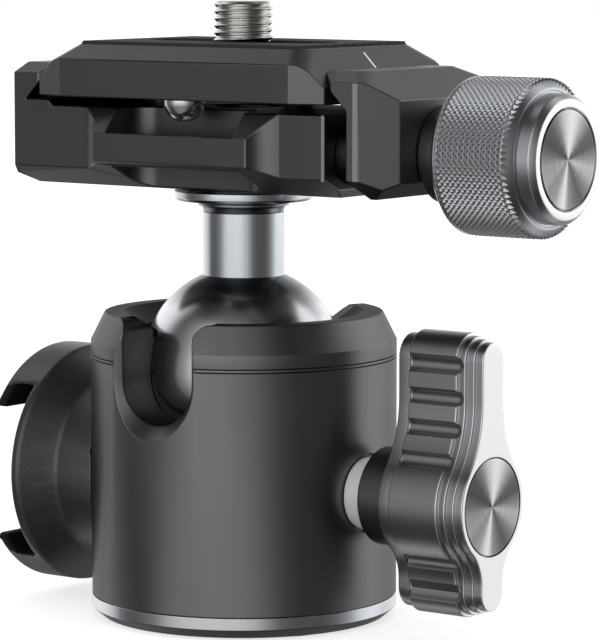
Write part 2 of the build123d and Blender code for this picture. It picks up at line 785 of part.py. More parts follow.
nodes = {
    "housing": make_housing,
    "seat_ring": make_seat_ring,
    "base_plate": make_base_plate,
    "base_bush": make_base_bush,
    "base_screws": make_base_screws,
    "cold_shoe": make_cold_shoe,
    "shoe_screws": make_shoe_screws,
    "lock_bush": make_lock_bush,
    "lock_washer": make_lock_washer,
    "pressure_cup": make_pressure_cup,
    "lock_wedge": make_lock_wedge,
    "lock_screw": make_lock_screw,
    "lock_boss": make_lock_boss,
    "lock_lever": make_lock_lever,
    "lock_cap": make_lock_cap,
    "ball_stem": make_ball_stem,
    "clamp_body": make_clamp_body,
    "clamp_bolt": make_clamp_bolt,
    "clamp_stud": make_clamp_stud,
    "clamp_jaw": make_clamp_jaw,
    "jaw_guides": make_jaw_guides,
    "knob_collar": make_knob_collar,
    "clamp_knob": make_clamp_knob,
    "knob_insert": make_knob_insert,
    "knob_cap": make_knob_cap,
    "qr_plate": make_qr_plate,
    "plate_pad": make_plate_pad,
    "camera_screw": make_camera_screw,
    "screw_washer": make_screw_washer,
    "stop_screws": make_stop_screws,
}

for name, make in nodes.items():
    shape = make()
    if isinstance(shape, list):
        shape = Compound(children=shape)
    export_step(shape, f"parts/{name}.step")
    print(name, round(shape.volume, 2), shape.bounding_box().min, shape.bounding_box().max)
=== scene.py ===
import math

import bmesh
import bpy
import numpy as np
from mathutils import Matrix, Vector


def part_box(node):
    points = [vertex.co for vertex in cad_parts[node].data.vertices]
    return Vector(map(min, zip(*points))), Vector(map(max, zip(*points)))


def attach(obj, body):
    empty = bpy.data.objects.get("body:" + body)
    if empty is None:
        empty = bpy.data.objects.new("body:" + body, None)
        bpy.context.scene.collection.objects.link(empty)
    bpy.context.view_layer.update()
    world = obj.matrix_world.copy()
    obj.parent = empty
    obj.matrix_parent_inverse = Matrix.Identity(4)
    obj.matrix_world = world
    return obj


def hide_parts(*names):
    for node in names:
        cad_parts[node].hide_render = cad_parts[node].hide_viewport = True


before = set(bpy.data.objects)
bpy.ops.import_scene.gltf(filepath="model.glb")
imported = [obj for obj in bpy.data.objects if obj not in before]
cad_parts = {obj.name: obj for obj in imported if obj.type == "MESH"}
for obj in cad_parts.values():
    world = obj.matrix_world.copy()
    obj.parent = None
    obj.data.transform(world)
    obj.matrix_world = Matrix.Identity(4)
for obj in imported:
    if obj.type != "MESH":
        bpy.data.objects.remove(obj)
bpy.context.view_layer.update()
mm = 0.001
ballCentre = 26.7    # heights of the ball's centre and of the two axes along X, in millimetres
lockHeight = 14.5
knobHeight = 50.7
flatAngle = 0.4     # degrees up to which neighbouring faces count as one flat face


def placed(name, data):
    obj = bpy.data.objects.new(name, data)
    bpy.context.scene.collection.objects.link(obj)
    return obj


cameraView = {"x": 233.01, "y": -304.58, "z": 74.33, "heading": 36.513, "pitch": 6.33,
              "focal": 3576.28, "imageHeight": 640, "sensor": 36.0}


def makeCamera():
    s = cameraView
    data = bpy.data.cameras.new("camera")
    data.sensor_width = s["sensor"]
    data.lens = s["focal"] / s["imageHeight"] * s["sensor"]
    data.clip_start = 0.01
    obj = placed("camera", data)
    obj.location = (s["x"] * mm, s["y"] * mm, s["z"] * mm)
    obj.rotation_euler = (math.radians(90 - s["pitch"]), 0, math.radians(s["heading"]))
    bpy.context.scene.camera = obj


makeCamera()
print("camera ready")


# shade: the darker share of the drifting colour, rough and roughVary: the gloss and its drift, grain and
# patch: noise scales of the bump and of the drift, limb: the share kept of the brightening at a grazing angle
anodised = {"metallic": 1.0, "shade": 0.93, "roughVary": 0.03, "grain": 11000, "bump": 0.000012, "patch": 110}
machined = {"metallic": 1.0, "shade": 0.95, "roughVary": 0.03, "grain": 12000, "bump": 0.000008, "patch": 130}
turned = {"metallic": 1.0, "shade": 0.97, "roughVary": 0.02, "grain": 7000, "bump": 0.000002, "patch": 160}
fastener = {"metallic": 1.0, "shade": 0.9, "roughVary": 0.06, "grain": 7000, "bump": 0.000006, "patch": 300}
plastic = {"metallic": 0.0, "shade": 0.85, "roughVary": 0.06, "grain": 5200, "bump": 0.00003, "patch": 120}
finishes = {
    "blastedGrey": {**anodised, "color": (0.2, 0.2, 0.201), "rough": 0.34, "limb": 0.5, "grain": 9000,
                    "bump": 0.00002, "patch": 90},
    # painted shade, for walls, hollows and undersides that lie in shade
    "paintedShade": {**anodised, "color": (0.075, 0.075, 0.077), "rough": 0.4, "limb": 0.45, "grain": 9000,
                  "bump": 0.00001, "patch": 90},
    "blackAnodised": {**anodised, "color": (0.155, 0.155, 0.156), "rough": 0.36},
    "jawAnodised": {**anodised, "color": (0.2, 0.2, 0.2), "rough": 0.42},
    # a light colour for painted highlights along edges
    "paintedEdgeHighlight": {**machined, "color": (0.56, 0.56, 0.57), "rough": 0.36, "grain": 11000},
    "gunmetal": {**machined, "color": (0.40, 0.415, 0.43), "rough": 0.3},
    "knobMetal": {**machined, "color": (0.55, 0.565, 0.585), "rough": 0.3},
    # the bright cut face, also used for painted highlights on the lever's step edges
    "leverFace": {**machined, "color": (0.79, 0.80, 0.81), "rough": 0.26, "shade": 0.96, "bump": 0.000004},
    # the ball's satin colour carries painted shade over the ball's top
    "ballSatin": {**turned, "color": (0.72, 0.735, 0.76), "rough": 0.21, "paintedShadeAbove": (33.6, 35.6, 0.3)},
    "polished": {**turned, "color": (0.56, 0.59, 0.62), "rough": 0.17},
    "brightSteel": {**fastener, "color": (0.72, 0.71, 0.69), "rough": 0.2},
    "blackOxide": {**fastener, "color": (0.08, 0.08, 0.082), "rough": 0.33, "shade": 0.85, "grain": 8000},
    "turnedBrass": {**fastener, "color": (0.60, 0.42, 0.16), "rough": 0.28, "roughVary": 0.05, "patch": 200},
    "moulded": {**plastic, "color": (0.030, 0.030, 0.032), "rough": 0.42},
    "shoeNylon": {**plastic, "color": (0.022, 0.022, 0.023), "rough": 0.36, "specular": 1.0},
    "paintedSlotShade": {**plastic, "color": (0.008, 0.008, 0.008), "rough": 0.7, "specular": 0.2},
    "nylon": {**plastic, "color": (0.9, 0.9, 0.88), "rough": 0.5, "shade": 0.94, "roughVary": 0.05,
              "grain": 3500, "bump": 0.00001, "patch": 200},
    "rubber": {**plastic, "color": (0.035, 0.035, 0.036), "rough": 0.7, "shade": 0.8, "grain": 4200, "patch": 150},
    "tickPaint": {**plastic, "color": (0.9, 0.9, 0.89), "rough": 0.5, "shade": 0.95, "roughVary": 0.04,
                  "grain": 6000, "bump": 0.000004, "patch": 300},
}


# sets a node's inputs to plain values, or joins them to other nodes' outputs
def setInputs(tree, node, inputs):
    for key, value in inputs.items():
        if isinstance(value, bpy.types.NodeSocket):
            tree.links.new(value, node.inputs[key])
        else:
            node.inputs[key].default_value = value
    return node


def addNode(tree, kind, inputs=None, **settings):
    node = tree.nodes.new(kind)
    for key, value in settings.items():
        setattr(node, key, value)
    return setInputs(tree, node, inputs or {})


def newMaterial(name):
    mat = bpy.data.materials.new(name)
    mat.use_nodes = True
    return mat, mat.node_tree, mat.node_tree.nodes["Principled BSDF"]


def rgba(color, share=1):
    return (*(c * share for c in color), 1)


def noiseInto(tree, coords, scale, detail):
    return addNode(tree, "ShaderNodeTexNoise", {"Vector": coords, "Scale": scale, "Detail": detail}).outputs["Fac"]


def mapRange(tree, value, low, high, fromLow=0.3, fromHigh=0.7):
    return addNode(tree, "ShaderNodeMapRange", {"Value": value, "From Min": fromLow, "From Max": fromHigh,
                                                "To Min": low, "To Max": high}).outputs["Result"]


# a curve through (place, level) stops. The levels are shares of the most
def ramp(tree, value, stops, most=1.0):
    node = addNode(tree, "ShaderNodeValToRGB", {"Fac": value})
    band = node.color_ramp.elements
    while len(band) < len(stops):
        band.new(0.5)
    for element, (place, level) in zip(band, stops):
        element.position = place
        element.color = rgba((level / most,) * 3)
    return node.outputs["Color"]


def mixColor(tree, factor, first, second):
    return addNode(tree, "ShaderNodeMix", {"Factor": factor, "A": first, "B": second},
                   data_type="RGBA").outputs["Result"]


def mixShader(tree, factor, first, second):
    return addNode(tree, "ShaderNodeMixShader", {"Fac": factor, 1: first, 2: second}).outputs["Shader"]


def product(tree, first, second):
    return addNode(tree, "ShaderNodeVectorMath", {0: first, 1: second}, operation="MULTIPLY").outputs["Vector"]


def mathNode(tree, operation, *values):
    return addNode(tree, "ShaderNodeMath", dict(enumerate(values)), operation=operation).outputs["Value"]


def bumpFrom(tree, height, distance, strength):
    return addNode(tree, "ShaderNodeBump", {"Height": height, "Distance": distance,
                                            "Strength": strength}).outputs["Normal"]


# colour that drifts a little over the piece, a fine grain and a roughness that varies
def makeFinish(name, s):
    mat, tree, shader = newMaterial(name)
    coords = addNode(tree, "ShaderNodeTexCoord").outputs["Object"]
    patch = noiseInto(tree, coords, s["patch"], 3)
    color = mixColor(tree, patch, rgba(s["color"], s["shade"]), rgba(s["color"]))
    if "paintedShadeAbove" in s:   # painted shade: the colour darkens between these two heights and stays dark above them
        low, high, share = s["paintedShadeAbove"]
        height = addNode(tree, "ShaderNodeSeparateXYZ", {"Vector": coords}).outputs["Z"]
        color = product(tree, color, mapRange(tree, height, 1, share, low * mm, high * mm))
    setInputs(tree, shader, {
        "Base Color": color, "Metallic": s["metallic"], "Specular IOR Level": s.get("specular", 0.5),
        "Specular Tint": rgba((s.get("limb", 1.0),) * 3),
        "Roughness": mapRange(tree, patch, s["rough"] - s["roughVary"], s["rough"] + s["roughVary"]),
        "Normal": bumpFrom(tree, noiseInto(tree, coords, s["grain"], 1), s["bump"], 0.6)})
    return mat


finish = {name: makeFinish(name, s) for name, s in finishes.items()}

# paintedFlares: painted highlights, how bright the turned face's colour is at each angle clockwise round it, from its
# bottom, in degrees
spunDisc = {"color": (0.72, 0.725, 0.73), "shade": 0.93, "rough": 0.36, "ringVary": 0.05, "stretch": 0.9,
            "ringScale": 2600, "ringDepth": 0.0000008,
            "paintedFlares": [(0, 0.36), (5, 0.6), (11, 0.95), (20, 0.8), (33, 0.44), (50, 0.45), (64, 0.68), (84, 0.6),
                       (98, 0.3), (114, 0.14), (136, 0.17), (152, 0.32), (168, 0.68), (180, 0.86), (190, 0.94),
                       (201, 0.84), (216, 0.56), (236, 0.24), (254, 0.2), (270, 0.5), (284, 0.92),
                       (296, 0.84), (312, 0.42), (330, 0.16), (346, 0.22), (360, 0.36)]}


# turned rings about the line along X at this height, with gloss drawn out across the rings and painted highlights by
# angle round them
def makeSpun(name, height):
    s = spunDisc
    mat, tree, shader = newMaterial(name)
    coords = addNode(tree, "ShaderNodeTexCoord").outputs["Object"]
    place = addNode(tree, "ShaderNodeMapping", {"Vector": coords, "Location": (0, 0, -height * mm),
                                                "Scale": (0, 1, 1)}).outputs["Vector"]
    length = addNode(tree, "ShaderNodeVectorMath", {0: place}, operation="LENGTH").outputs["Value"]
    rings = addNode(tree, "ShaderNodeTexNoise", {"W": length, "Scale": s["ringScale"], "Detail": 2},
                    noise_dimensions="1D").outputs["Fac"]
    quarter = addNode(tree, "ShaderNodeMapping", {"Vector": place, "Rotation": (0, math.pi / 2, 0)})
    turn = addNode(tree, "ShaderNodeTexGradient", {"Vector": quarter.outputs["Vector"]},
                   gradient_type="RADIAL")   # starts at the bottom, because the quarter turn brings Z to X
    # painted highlights: the colour rises and falls by angle round the axis
    paintedFlares = ramp(tree, turn.outputs["Fac"], [(angle / 360, level) for angle, level in s["paintedFlares"]])
    tint = mixColor(tree, rings, rgba(s["color"], s["shade"]), rgba(s["color"]))
    setInputs(tree, shader, {
        "Base Color": product(tree, tint, paintedFlares), "Metallic": 1.0, "Anisotropic": s["stretch"],
        "Roughness": mapRange(tree, rings, s["rough"] - s["ringVary"], s["rough"] + s["ringVary"]),
        "Tangent": place, "Normal": bumpFrom(tree, rings, s["ringDepth"], 0.5)})
    return mat


finish["spunKnob"] = makeSpun("spunKnob", knobHeight)
finish["spunLever"] = makeSpun("spunLever", lockHeight)
print("materials ready", len(finish))


# the object's mesh with its modifiers applied
def evaluated(obj):
    graph = bpy.context.evaluated_depsgraph_get()
    graph.update()
    return bpy.data.meshes.new_from_object(obj.evaluated_get(graph))


def drop(obj):
    mesh = obj.data
    bpy.data.objects.remove(obj)
    bpy.data.meshes.remove(mesh)


# the mesh with one modifier applied
def modified(mesh, kind, **settings):
    obj = placed("work", mesh)
    mod = obj.modifiers.new("work", kind)
    for key, value in settings.items():
        setattr(mod, key, value)
    made = evaluated(obj)
    drop(obj)
    return made


def addPiece(name, mesh, body, material, *replaced):
    obj = placed(name, mesh)
    if not mesh.materials:
        mesh.materials.append(finish[material])
    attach(obj, body)
    if replaced:
        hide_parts(*replaced)
    return obj


# opened and closed: from a mesh to a bmesh, and from that to a new mesh
def opened(mesh):
    work = bmesh.new()
    work.from_mesh(mesh)
    return work


def closed(work, name):
    mesh = bpy.data.meshes.new(name)
    work.to_mesh(mesh)
    work.free()
    return mesh


def meshFrom(name, verts, faces, merge=1e-7):
    work = bmesh.new()
    made = [work.verts.new(v) for v in verts]
    for face in faces:
        work.faces.new([made[i] for i in face])
    bmesh.ops.remove_doubles(work, verts=work.verts, dist=merge)
    bmesh.ops.recalc_face_normals(work, faces=work.faces)
    return closed(work, name)


# smooth shading that keeps flat faces flat beside their rounded edges
def smooth(mesh, angle=28):
    mesh.shade_smooth()
    mesh.set_sharp_from_angle(angle=math.radians(angle))
    return modified(mesh, "WEIGHTED_NORMAL", keep_sharp=True, weight=100)


# a line through (a, b, radius) corners, with an arc at each corner that has a radius
def rounded(points, steps=5):
    line = []
    count = len(points)
    for i, (a, b, radius) in enumerate(points):
        here = Vector((a, b))
        if not radius or i in (0, count - 1):
            line.append((a, b))
            continue
        before = Vector(points[i - 1][:2]) - here
        after = Vector(points[i + 1][:2]) - here
        half = before.angle(after) / 2
        trim = min(radius / math.tan(half), before.length * 0.49, after.length * 0.49)
        start, end = here + before.normalized() * trim, here + after.normalized() * trim
        for k in range(steps + 1):
            t = k / steps
            line.append(tuple(start * (1 - t) ** 2 + here * 2 * t * (1 - t) + end * t ** 2))
    return line


# the faces of a grid of points that are given ring by ring. Faces without an area are left out
def gridFaces(verts, count, closedRings=True, closedLine=True):
    rings, faces = len(verts) // count, []
    for i in range(rings if closedRings else rings - 1):
        for k in range(count if closedLine else count - 1):
            here, after, up = i * count, (i + 1) % rings * count, (k + 1) % count
            quad = [here + k, after + k, after + up, here + up]
            keep = [q for n, q in enumerate(quad) if (verts[q] - verts[quad[n - 1]]).length > 1e-9]
            if len(keep) > 2:
                faces.append(keep)
    return faces


# a turned mesh. line holds (radius, place along the axis) in millimetres
def lathe(name, line, axis="Z", height=0.0, segments=160, closedLine=False):
    verts = []
    for i in range(segments):
        c, s = math.cos(2 * math.pi * i / segments), math.sin(2 * math.pi * i / segments)
        for radius, place in line:
            point = (radius * c, radius * s, place) if axis == "Z" else (place, radius * c, height + radius * s)
            verts.append(Vector(point) * mm)
    return meshFrom(name, verts, gridFaces(verts, len(line), closedLine=closedLine))


# a solid through rings of points in millimetres, with a flat face at each end
def loft(name, rings):
    count = len(rings[0])
    verts = [Vector(point) * mm for ring in rings for point in ring]
    ends = [list(range(count)), list(range(len(verts) - count, len(verts)))]
    return meshFrom(name, verts, gridFaces(verts, count, closedRings=False) + ends, 1e-8)


# a box between two corners in millimetres
def boxBetween(name, low, high):
    corners = [(low[0], low[1]), (high[0], low[1]), (high[0], high[1]), (low[0], high[1])]
    return loft(name, [[(x, y, z) for x, y in corners] for z in (low[2], high[2])])


# gives a mesh two finishes, the second where the test on a face's centre, in millimetres, and normal holds
def paint(mesh, first, second, test):
    mesh.materials.clear()
    for name in (first, second):
        mesh.materials.append(finish[name])
    for side in mesh.polygons:
        side.material_index = int(test(side.center / mm, side.normal))
    return mesh


# a merged copy of a CAD node's mesh, with its flat faces whole
def cadCopy(node):
    work = opened(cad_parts[node].data)
    bmesh.ops.remove_doubles(work, verts=work.verts, dist=1e-7)
    bmesh.ops.dissolve_limit(work, angle_limit=math.radians(flatAngle), verts=work.verts, edges=work.edges)
    return closed(work, node + "Copy")


# the mesh with its edges rounded by a width in millimetres
def bevelled(mesh, width, angle=30, segments=3, weights=False):
    return modified(mesh, "BEVEL", width=width * mm, segments=segments, angle_limit=math.radians(angle),
                    limit_method="WEIGHT" if weights else "ANGLE", use_clamp_overlap=False,
                    harden_normals=True, miter_outer="MITER_ARC")


# marks the edges that the test picks for a bevel by weight
def markEdges(mesh, test):
    work = opened(mesh)
    weight = work.edges.layers.float.get("bevel_weight_edge") or work.edges.layers.float.new("bevel_weight_edge")
    for edge in work.edges:
        edge[weight] = float(test(edge))
    work.to_mesh(mesh)
    work.free()
    return mesh


sloping = {"least": 0.8, "turn": (0.2, 1.3), "rise": (0.4, 0.92), "rows": 10, "under": -0.2}


# the edges between two sloping top faces
def isSlopingCorner(edge):
    s = sloping
    if len(edge.link_faces) != 2 or edge.calc_length() <= s["least"] * mm:
        return False
    a, b = (face.normal for face in edge.link_faces)
    low, high = sorted((a.z, b.z))
    return s["turn"][0] < a.angle(b, 0) < s["turn"][1] and s["rise"][0] < low and high < s["rise"][1]


# a node whose sloping top faces run round its corners in a soft curve, and whose underside gets painted shade
def dressMitred(node, body, material, width, corner):
    mesh = bevelled(markEdges(cadCopy(node), isSlopingCorner), corner, segments=sloping["rows"], weights=True)
    mesh = bevelled(smooth(mesh, 15), width)
    # painted shade on the faces that look down
    paint(mesh, material, "paintedShade", lambda at, normal: normal.z < sloping["under"])
    addPiece(node + "Piece", mesh, body, material, node)


# a CAD node with rounded edges and smooth round faces
def dress(node, body, material, width):
    mesh = smooth(cadCopy(node))
    if width:
        mesh = bevelled(mesh, width)
    mesh.materials.clear()
    addPiece(node + "Piece", mesh, body, material, node)


def cut(base, cutter):
    tool = placed("cutter", cutter)
    made = modified(base, "BOOLEAN", operation="DIFFERENCE", solver="EXACT", object=tool)
    drop(tool)
    made.polygons.foreach_set("material_index", [0] * len(made.polygons))
    made.materials.clear()
    return made


def arc(cx, cy, radius, start, end, steps):
    return [(cx + radius * math.cos(math.radians(start + (end - start) * k / steps)),
             cy + radius * math.sin(math.radians(start + (end - start) * k / steps)))
            for k in range(steps + 1)]


housing = {"radius": 16.5, "bottom": 2.3, "cone": 29.85, "rim": 15.0, "top": 32.85, "bore": 12.6,
           "shoulder": 30.6, "throat": 10.5, "throatTop": 31.3, "rimInner": 13.0, "rimRound": 0.3,
           "grooves": (28.02, 28.38), "grooveWidth": 0.13, "grooveDepth": 0.16, "edge": 0.13,
           "lip": 11.3, "lipDepth": 0.35, "lipGap": 0.1, "lockHole": 4.22,
           "notchHalf": 4.6, "notchHeight": 26.54, "notchFlare": 1.5, "bevelStart": 15.0,
           "notchStep": 0.16, "rimColumns": 75, "edgeRows": 9, "sideFan": 3, "fan": 10.0, "fanEnd": 60.0,
           "wallHalf": 6.5, "wallFrom": 9.5, "wallFoot": 21, "darkFrom": 29, "gapHalf": 6.2}


# half of the notch's outline from its lowest point up: (x, z, outward x, outward z, bottom angle)
def notchOutline():
    s = housing
    half, middle, flare = s["notchHalf"], s["notchHeight"], s["notchFlare"]
    side = math.degrees(math.asin(half / s["radius"])) + s["sideFan"]
    wide = math.degrees(math.asin((half + flare) / s["rim"])) + s["fan"]
    top = s["top"] - flare
    below = int(half * math.pi / 2 / s["notchStep"])
    straight = int((top - middle) / s["notchStep"])
    curved = int(flare * math.pi / 2 / s["notchStep"] * 1.5)
    points = []
    for k in range(below + 1):
        a = math.pi / 2 * k / below
        points.append((half * math.sin(a), middle - half * math.cos(a), math.sin(a), -math.cos(a), side * k / below))
    for k in range(1, straight + curved + 1):
        a = math.pi / 2 * max(0, k - straight) / curved
        z = middle + (top - middle) * min(k, straight) / straight + flare * math.sin(a)
        points.append((half + flare * (1 - math.cos(a)), z, math.cos(a), -math.sin(a),
                       side + (wide - side) * k / (straight + curved)))
    return points


def outerRadius(z):
    s = housing
    return np.interp(z, [s["cone"], s["top"]], [s["radius"], s["rim"]])


def innerRadius(z):
    s = housing
    if z < s["shoulder"]:
        return math.sqrt(s["lip"] ** 2 - max(0, z - ballCentre) ** 2)
    return float(np.interp(z, [s["throatTop"], s["top"]], [s["throat"], s["rimInner"]]))


# the y of a point at this x on the front of a circle
def frontOf(radius, x):
    return -math.sqrt(radius ** 2 - x ** 2)


# the point at this radius, angle from the front in degrees and height
def roundAxis(radius, angle, z):
    a = math.radians(angle)
    return np.array((radius * math.sin(a), -radius * math.cos(a), z))


# points round a corner, ends included
def bend(start, corner, end, count):
    t = np.linspace(0, 1, count)[:, None]
    return start * (1 - t) ** 2 + corner * 2 * t * (1 - t) + end * t ** 2


# points from the outside, over the bevel, to the notch's wall
def notchEdge(x, z, nx, nz):
    s = housing

    def surface(reach):
        px, pz = x + nx * reach, z + nz * reach
        return np.array((px, frontOf(outerRadius(pz), px), pz))

    low, high = 0.0, 3.0   # the bevel meets the outside somewhere between them
    if surface(0.0)[1] < -s["bevelStart"]:
        for _ in range(30):
            middle = (low + high) / 2
            low, high = (middle, high) if surface(middle)[1] < -s["bevelStart"] - middle else (low, middle)
    outer, edge, rows = surface(low), s["edge"], s["edgeRows"]
    inner = np.array((x, -s["bevelStart"] if low > 0 else outer[1], z))
    start, end = surface(low + edge), inner + np.array((0, edge, 0))
    length = np.linalg.norm(inner - outer)
    if length < 2 * edge:
        return bend(start, (outer + inner) / 2, end, 2 * rows)
    along = (inner - outer) / length * edge
    return np.vstack((bend(start, outer, outer + along, rows), bend(inner - along, inner, end, rows)))


# points up the outside as far as a height, leaning from one angle to another
def outerRows(top, topAngle, lowAngle, profile):
    low = profile[0][1]
    for radius, z in profile:
        share = min(1.0, (z - low) / (top[2] - low))
        yield top if z >= top[2] - 1e-6 else roundAxis(radius, lowAngle + (topAngle - lowAngle) * share, z)


def angleOf(point):
    return math.degrees(math.atan2(point[0], -point[1])) % 360


# the wall's section in (radius, height): up the outside, then from the rim down the bore
def housingLines():
    s = housing
    outside = [(s["bore"], s["bottom"], 0), (s["radius"], s["bottom"], 0.12)]
    for z in s["grooves"]:
        outside += [(s["radius"], z - s["grooveWidth"] / 2, 0.03), (s["radius"] - s["grooveDepth"], z, 0),
                    (s["radius"], z + s["grooveWidth"] / 2, 0.03)]
    outside += [(s["radius"], s["cone"], 0.1), (s["rim"], s["top"], 0)]
    inside = [(s["rim"], s["top"], 0), (s["rimInner"], s["top"], s["rimRound"]), (s["throat"], s["throatTop"], 0.15),
              (s["throat"], s["shoulder"], 0), (s["bore"], s["shoulder"], 0)]
    return rounded(outside, 4)[1:-1], rounded(inside, 5)[1:]


# closed outlines through the wall, one after the other round the housing. A quarter is mirrored twice
def makeHousingColumns():
    s = housing
    outside, inside = housingLines()
    columns = [(notchEdge(x, z, nx, nz), (z, nx, nz), low) for x, z, nx, nz, low in notchOutline()]
    flareAngle = math.degrees(math.asin((s["notchHalf"] + s["notchFlare"]) / s["rim"]))
    below = s["top"] - s["edge"]
    for k in range(1, s["rimColumns"] + 1):
        angle = flareAngle + (90 - flareAngle) * k / s["rimColumns"]
        lean = s["fan"] * max(0.0, 1 - (angle - flareAngle) / (s["fanEnd"] - flareAngle))
        edge = bend(roundAxis(outerRadius(below), angle, below), roundAxis(s["rim"], angle, s["top"]),
                    roundAxis(s["rim"] - s["edge"], angle, s["top"]), 2 * s["edgeRows"])
        columns.append((edge, None, angle + lean))
    quarter = []
    for edge, wall, low in columns:
        rows = list(outerRows(edge[0], angleOf(edge[0]), low, outside)) + list(edge)
        meet, height = edge[-1], s["top"] + 1
        if wall:
            x, (height, nx, nz) = meet[0], wall
            meet = np.array((x, frontOf(innerRadius(height), x), height))
        rows += [meet if z >= height - 1e-6 else roundAxis(r, angleOf(meet), z) for r, z in inside]
        behind = rows[-1]
        if height < s["shoulder"]:   # a lip that hides the ends of the seat ring and the cup
            across = x + nx * s["lipDepth"]
            behind = np.array((across, frontOf(s["bore"], across), height + nz * s["lipDepth"]))
        quarter.append(np.array(rows + [behind, roundAxis(s["bore"], low, s["bottom"])]))
    half = quarter + [rows * (1, -1, 1) for rows in reversed(quarter[:-1])]
    return half + [rows * (-1, 1, 1) for rows in reversed(half[1:-1])]


# the front notch's flat walls, the rim's top and the throat get painted shade, darker than the blasted outside
def isDarkOnHousing(at, normal):
    s = housing
    wall = (abs(at.x) < s["wallHalf"] and -s["bevelStart"] - 0.03 < at.y < -s["wallFrom"]
            and s["wallFoot"] < at.z < s["top"] - 0.02 and abs(normal.y) < 0.3)
    inside = math.hypot(at.x, at.y) < s["rim"] - 0.12 and at.z > s["darkFrom"]
    return wall or (inside and (at.y < s["wallFrom"] or abs(at.x) > s["gapHalf"]))


def makeHousing():
    s = housing
    columns = makeHousingColumns()
    verts = [Vector(point) * mm for column in columns for point in column]
    body = meshFrom("housing", verts, gridFaces(verts, len(columns[0])))
    hole = lathe("hole", [(0, 10), (s["lockHole"], 10), (s["lockHole"], 20), (0, 20)], "X", lockHeight, 64)
    body = smooth(cut(body, hole), 30)
    paint(body, "blastedGrey", "paintedShade", isDarkOnHousing)
    addPiece("housingShell", body, "housing_body", "blastedGrey", "housing")


# a node whose own notches stand back behind the housing's lips
def makeBehindLip(node, body, material):
    s = housing
    back = s["lipDepth"] + s["lipGap"]
    half = [(x + nx * back, z + nz * back) for x, z, nx, nz, low in notchOutline() if z < s["throatTop"]]
    outline = [(-x, z) for x, z in reversed(half[1:])] + half
    above, reach = s["top"] + 2, s["radius"] + 2
    outline = [(outline[0][0], above)] + outline + [(outline[-1][0], above)]
    mesh = cut(cadCopy(node), loft("notch", [[(x, y, z) for x, z in outline] for y in (-reach, reach)]))
    addPiece(node + "Piece", smooth(mesh), body, material, node)


makeHousing()
makeBehindLip("seat_ring", "housing_body", "moulded")
makeBehindLip("pressure_cup", "cup_body", "moulded")
print("housing ready")


baseBand = {"color": (0.64, 0.66, 0.69), "shade": 0.95, "dark": (0.12, 0.12, 0.125), "edge": 0.00101,
            "rough": 0.16, "darkRough": 0.4, "patch": 160, "ringScale": 9000, "ringDepth": 0.000003}


# bright turned metal on the band, dark anodising below its lower edge
def makeBandFinish():
    s = baseBand
    mat, tree, shader = newMaterial("baseBand")
    coords = addNode(tree, "ShaderNodeTexCoord").outputs["Object"]
    height = addNode(tree, "ShaderNodeSeparateXYZ", {"Vector": coords}).outputs["Z"]
    above = mathNode(tree, "GREATER_THAN", height, s["edge"])
    bright = mixColor(tree, noiseInto(tree, coords, s["patch"], 3), rgba(s["color"], s["shade"]), rgba(s["color"]))
    stretch = addNode(tree, "ShaderNodeMapping", {"Vector": coords, "Scale": (0.02, 0.02, 1)})
    rings = noiseInto(tree, stretch.outputs["Vector"], s["ringScale"], 2)
    setInputs(tree, shader, {
        "Base Color": mixColor(tree, above, rgba(s["dark"]), bright), "Metallic": 1.0,
        "Roughness": mapRange(tree, above, s["darkRough"], s["rough"], 0, 1),
        "Normal": bumpFrom(tree, rings, s["ringDepth"], 0.4)})
    return mat


finish["baseBand"] = makeBandFinish()
dress("base_plate", "housing_body", "baseBand", 0.1)
dress("base_bush", "housing_body", "brightSteel", 0.15)
dress("base_screws", "housing_body", "blackOxide", 0)
print("base ready")


shoe = {"floor": 22.1, "outer": 25.9, "slotHalf": 9.45, "mouthHalf": 7.0, "tip": 0.85, "tipFrom": 9, "edge": 0.34}


# the shoe, with rounded tips on its rails and painted shade, near black, on its slot
def makeShoe():
    s = shoe

    def isRailTip(edge):
        a, b = (v.co / mm for v in edge.verts)
        atMouth = all(abs(abs(p.z - lockHeight) - s["mouthHalf"]) < 0.02 and abs(p.y) > s["tipFrom"] for p in (a, b))
        return atMouth and abs(a.x - b.x) > 0.5

    def isSlot(at, normal):
        return -s["outer"] + 0.3 < at.x < -s["floor"] + 0.05 and abs(at.z - lockHeight) < s["slotHalf"] + 0.05

    mesh = bevelled(markEdges(cadCopy("cold_shoe"), isRailTip), s["tip"], segments=6, weights=True)
    mesh = bevelled(smooth(mesh, 26), s["edge"], 35)
    # painted shade: the slot's faces near black
    paint(mesh, "shoeNylon", "paintedSlotShade", isSlot)
    addPiece("coldShoe", mesh, "housing_body", "shoeNylon", "cold_shoe")


makeShoe()
dress("shoe_screws", "housing_body", "blackOxide", 0.1)
print("cold shoe ready")


boss = {"radius": 5.21, "start": 18.65, "end": 22.63, "bore": 2.52, "edge": 0.35}
washer = {"radius": 3.81, "start": 16.02, "end": 18.6, "bore": 2.55, "edge": 0.15}


def makeSleeve(name, node, s, body, material):
    line = rounded([(s["bore"], s["start"], 0), (s["radius"], s["start"], s["edge"]),
                    (s["radius"], s["end"], s["edge"]), (s["bore"], s["end"], 0), (s["bore"], s["start"], 0)])
    mesh = lathe(name, line[:-1], "X", lockHeight, 96, closedLine=True)
    addPiece(name, smooth(mesh), body, material, node)


makeSleeve("lockBoss", "lock_boss", boss, "lever_body", "blackAnodised")
makeSleeve("lockWasher", "lock_washer", washer, "housing_body", "nylon")
dress("lock_bush", "housing_body", "blackOxide", 0.08)
dress("lock_screw", "lever_body", "blackOxide", 0.08)
dress("lock_wedge", "wedge_body", "turnedBrass", 0.08)

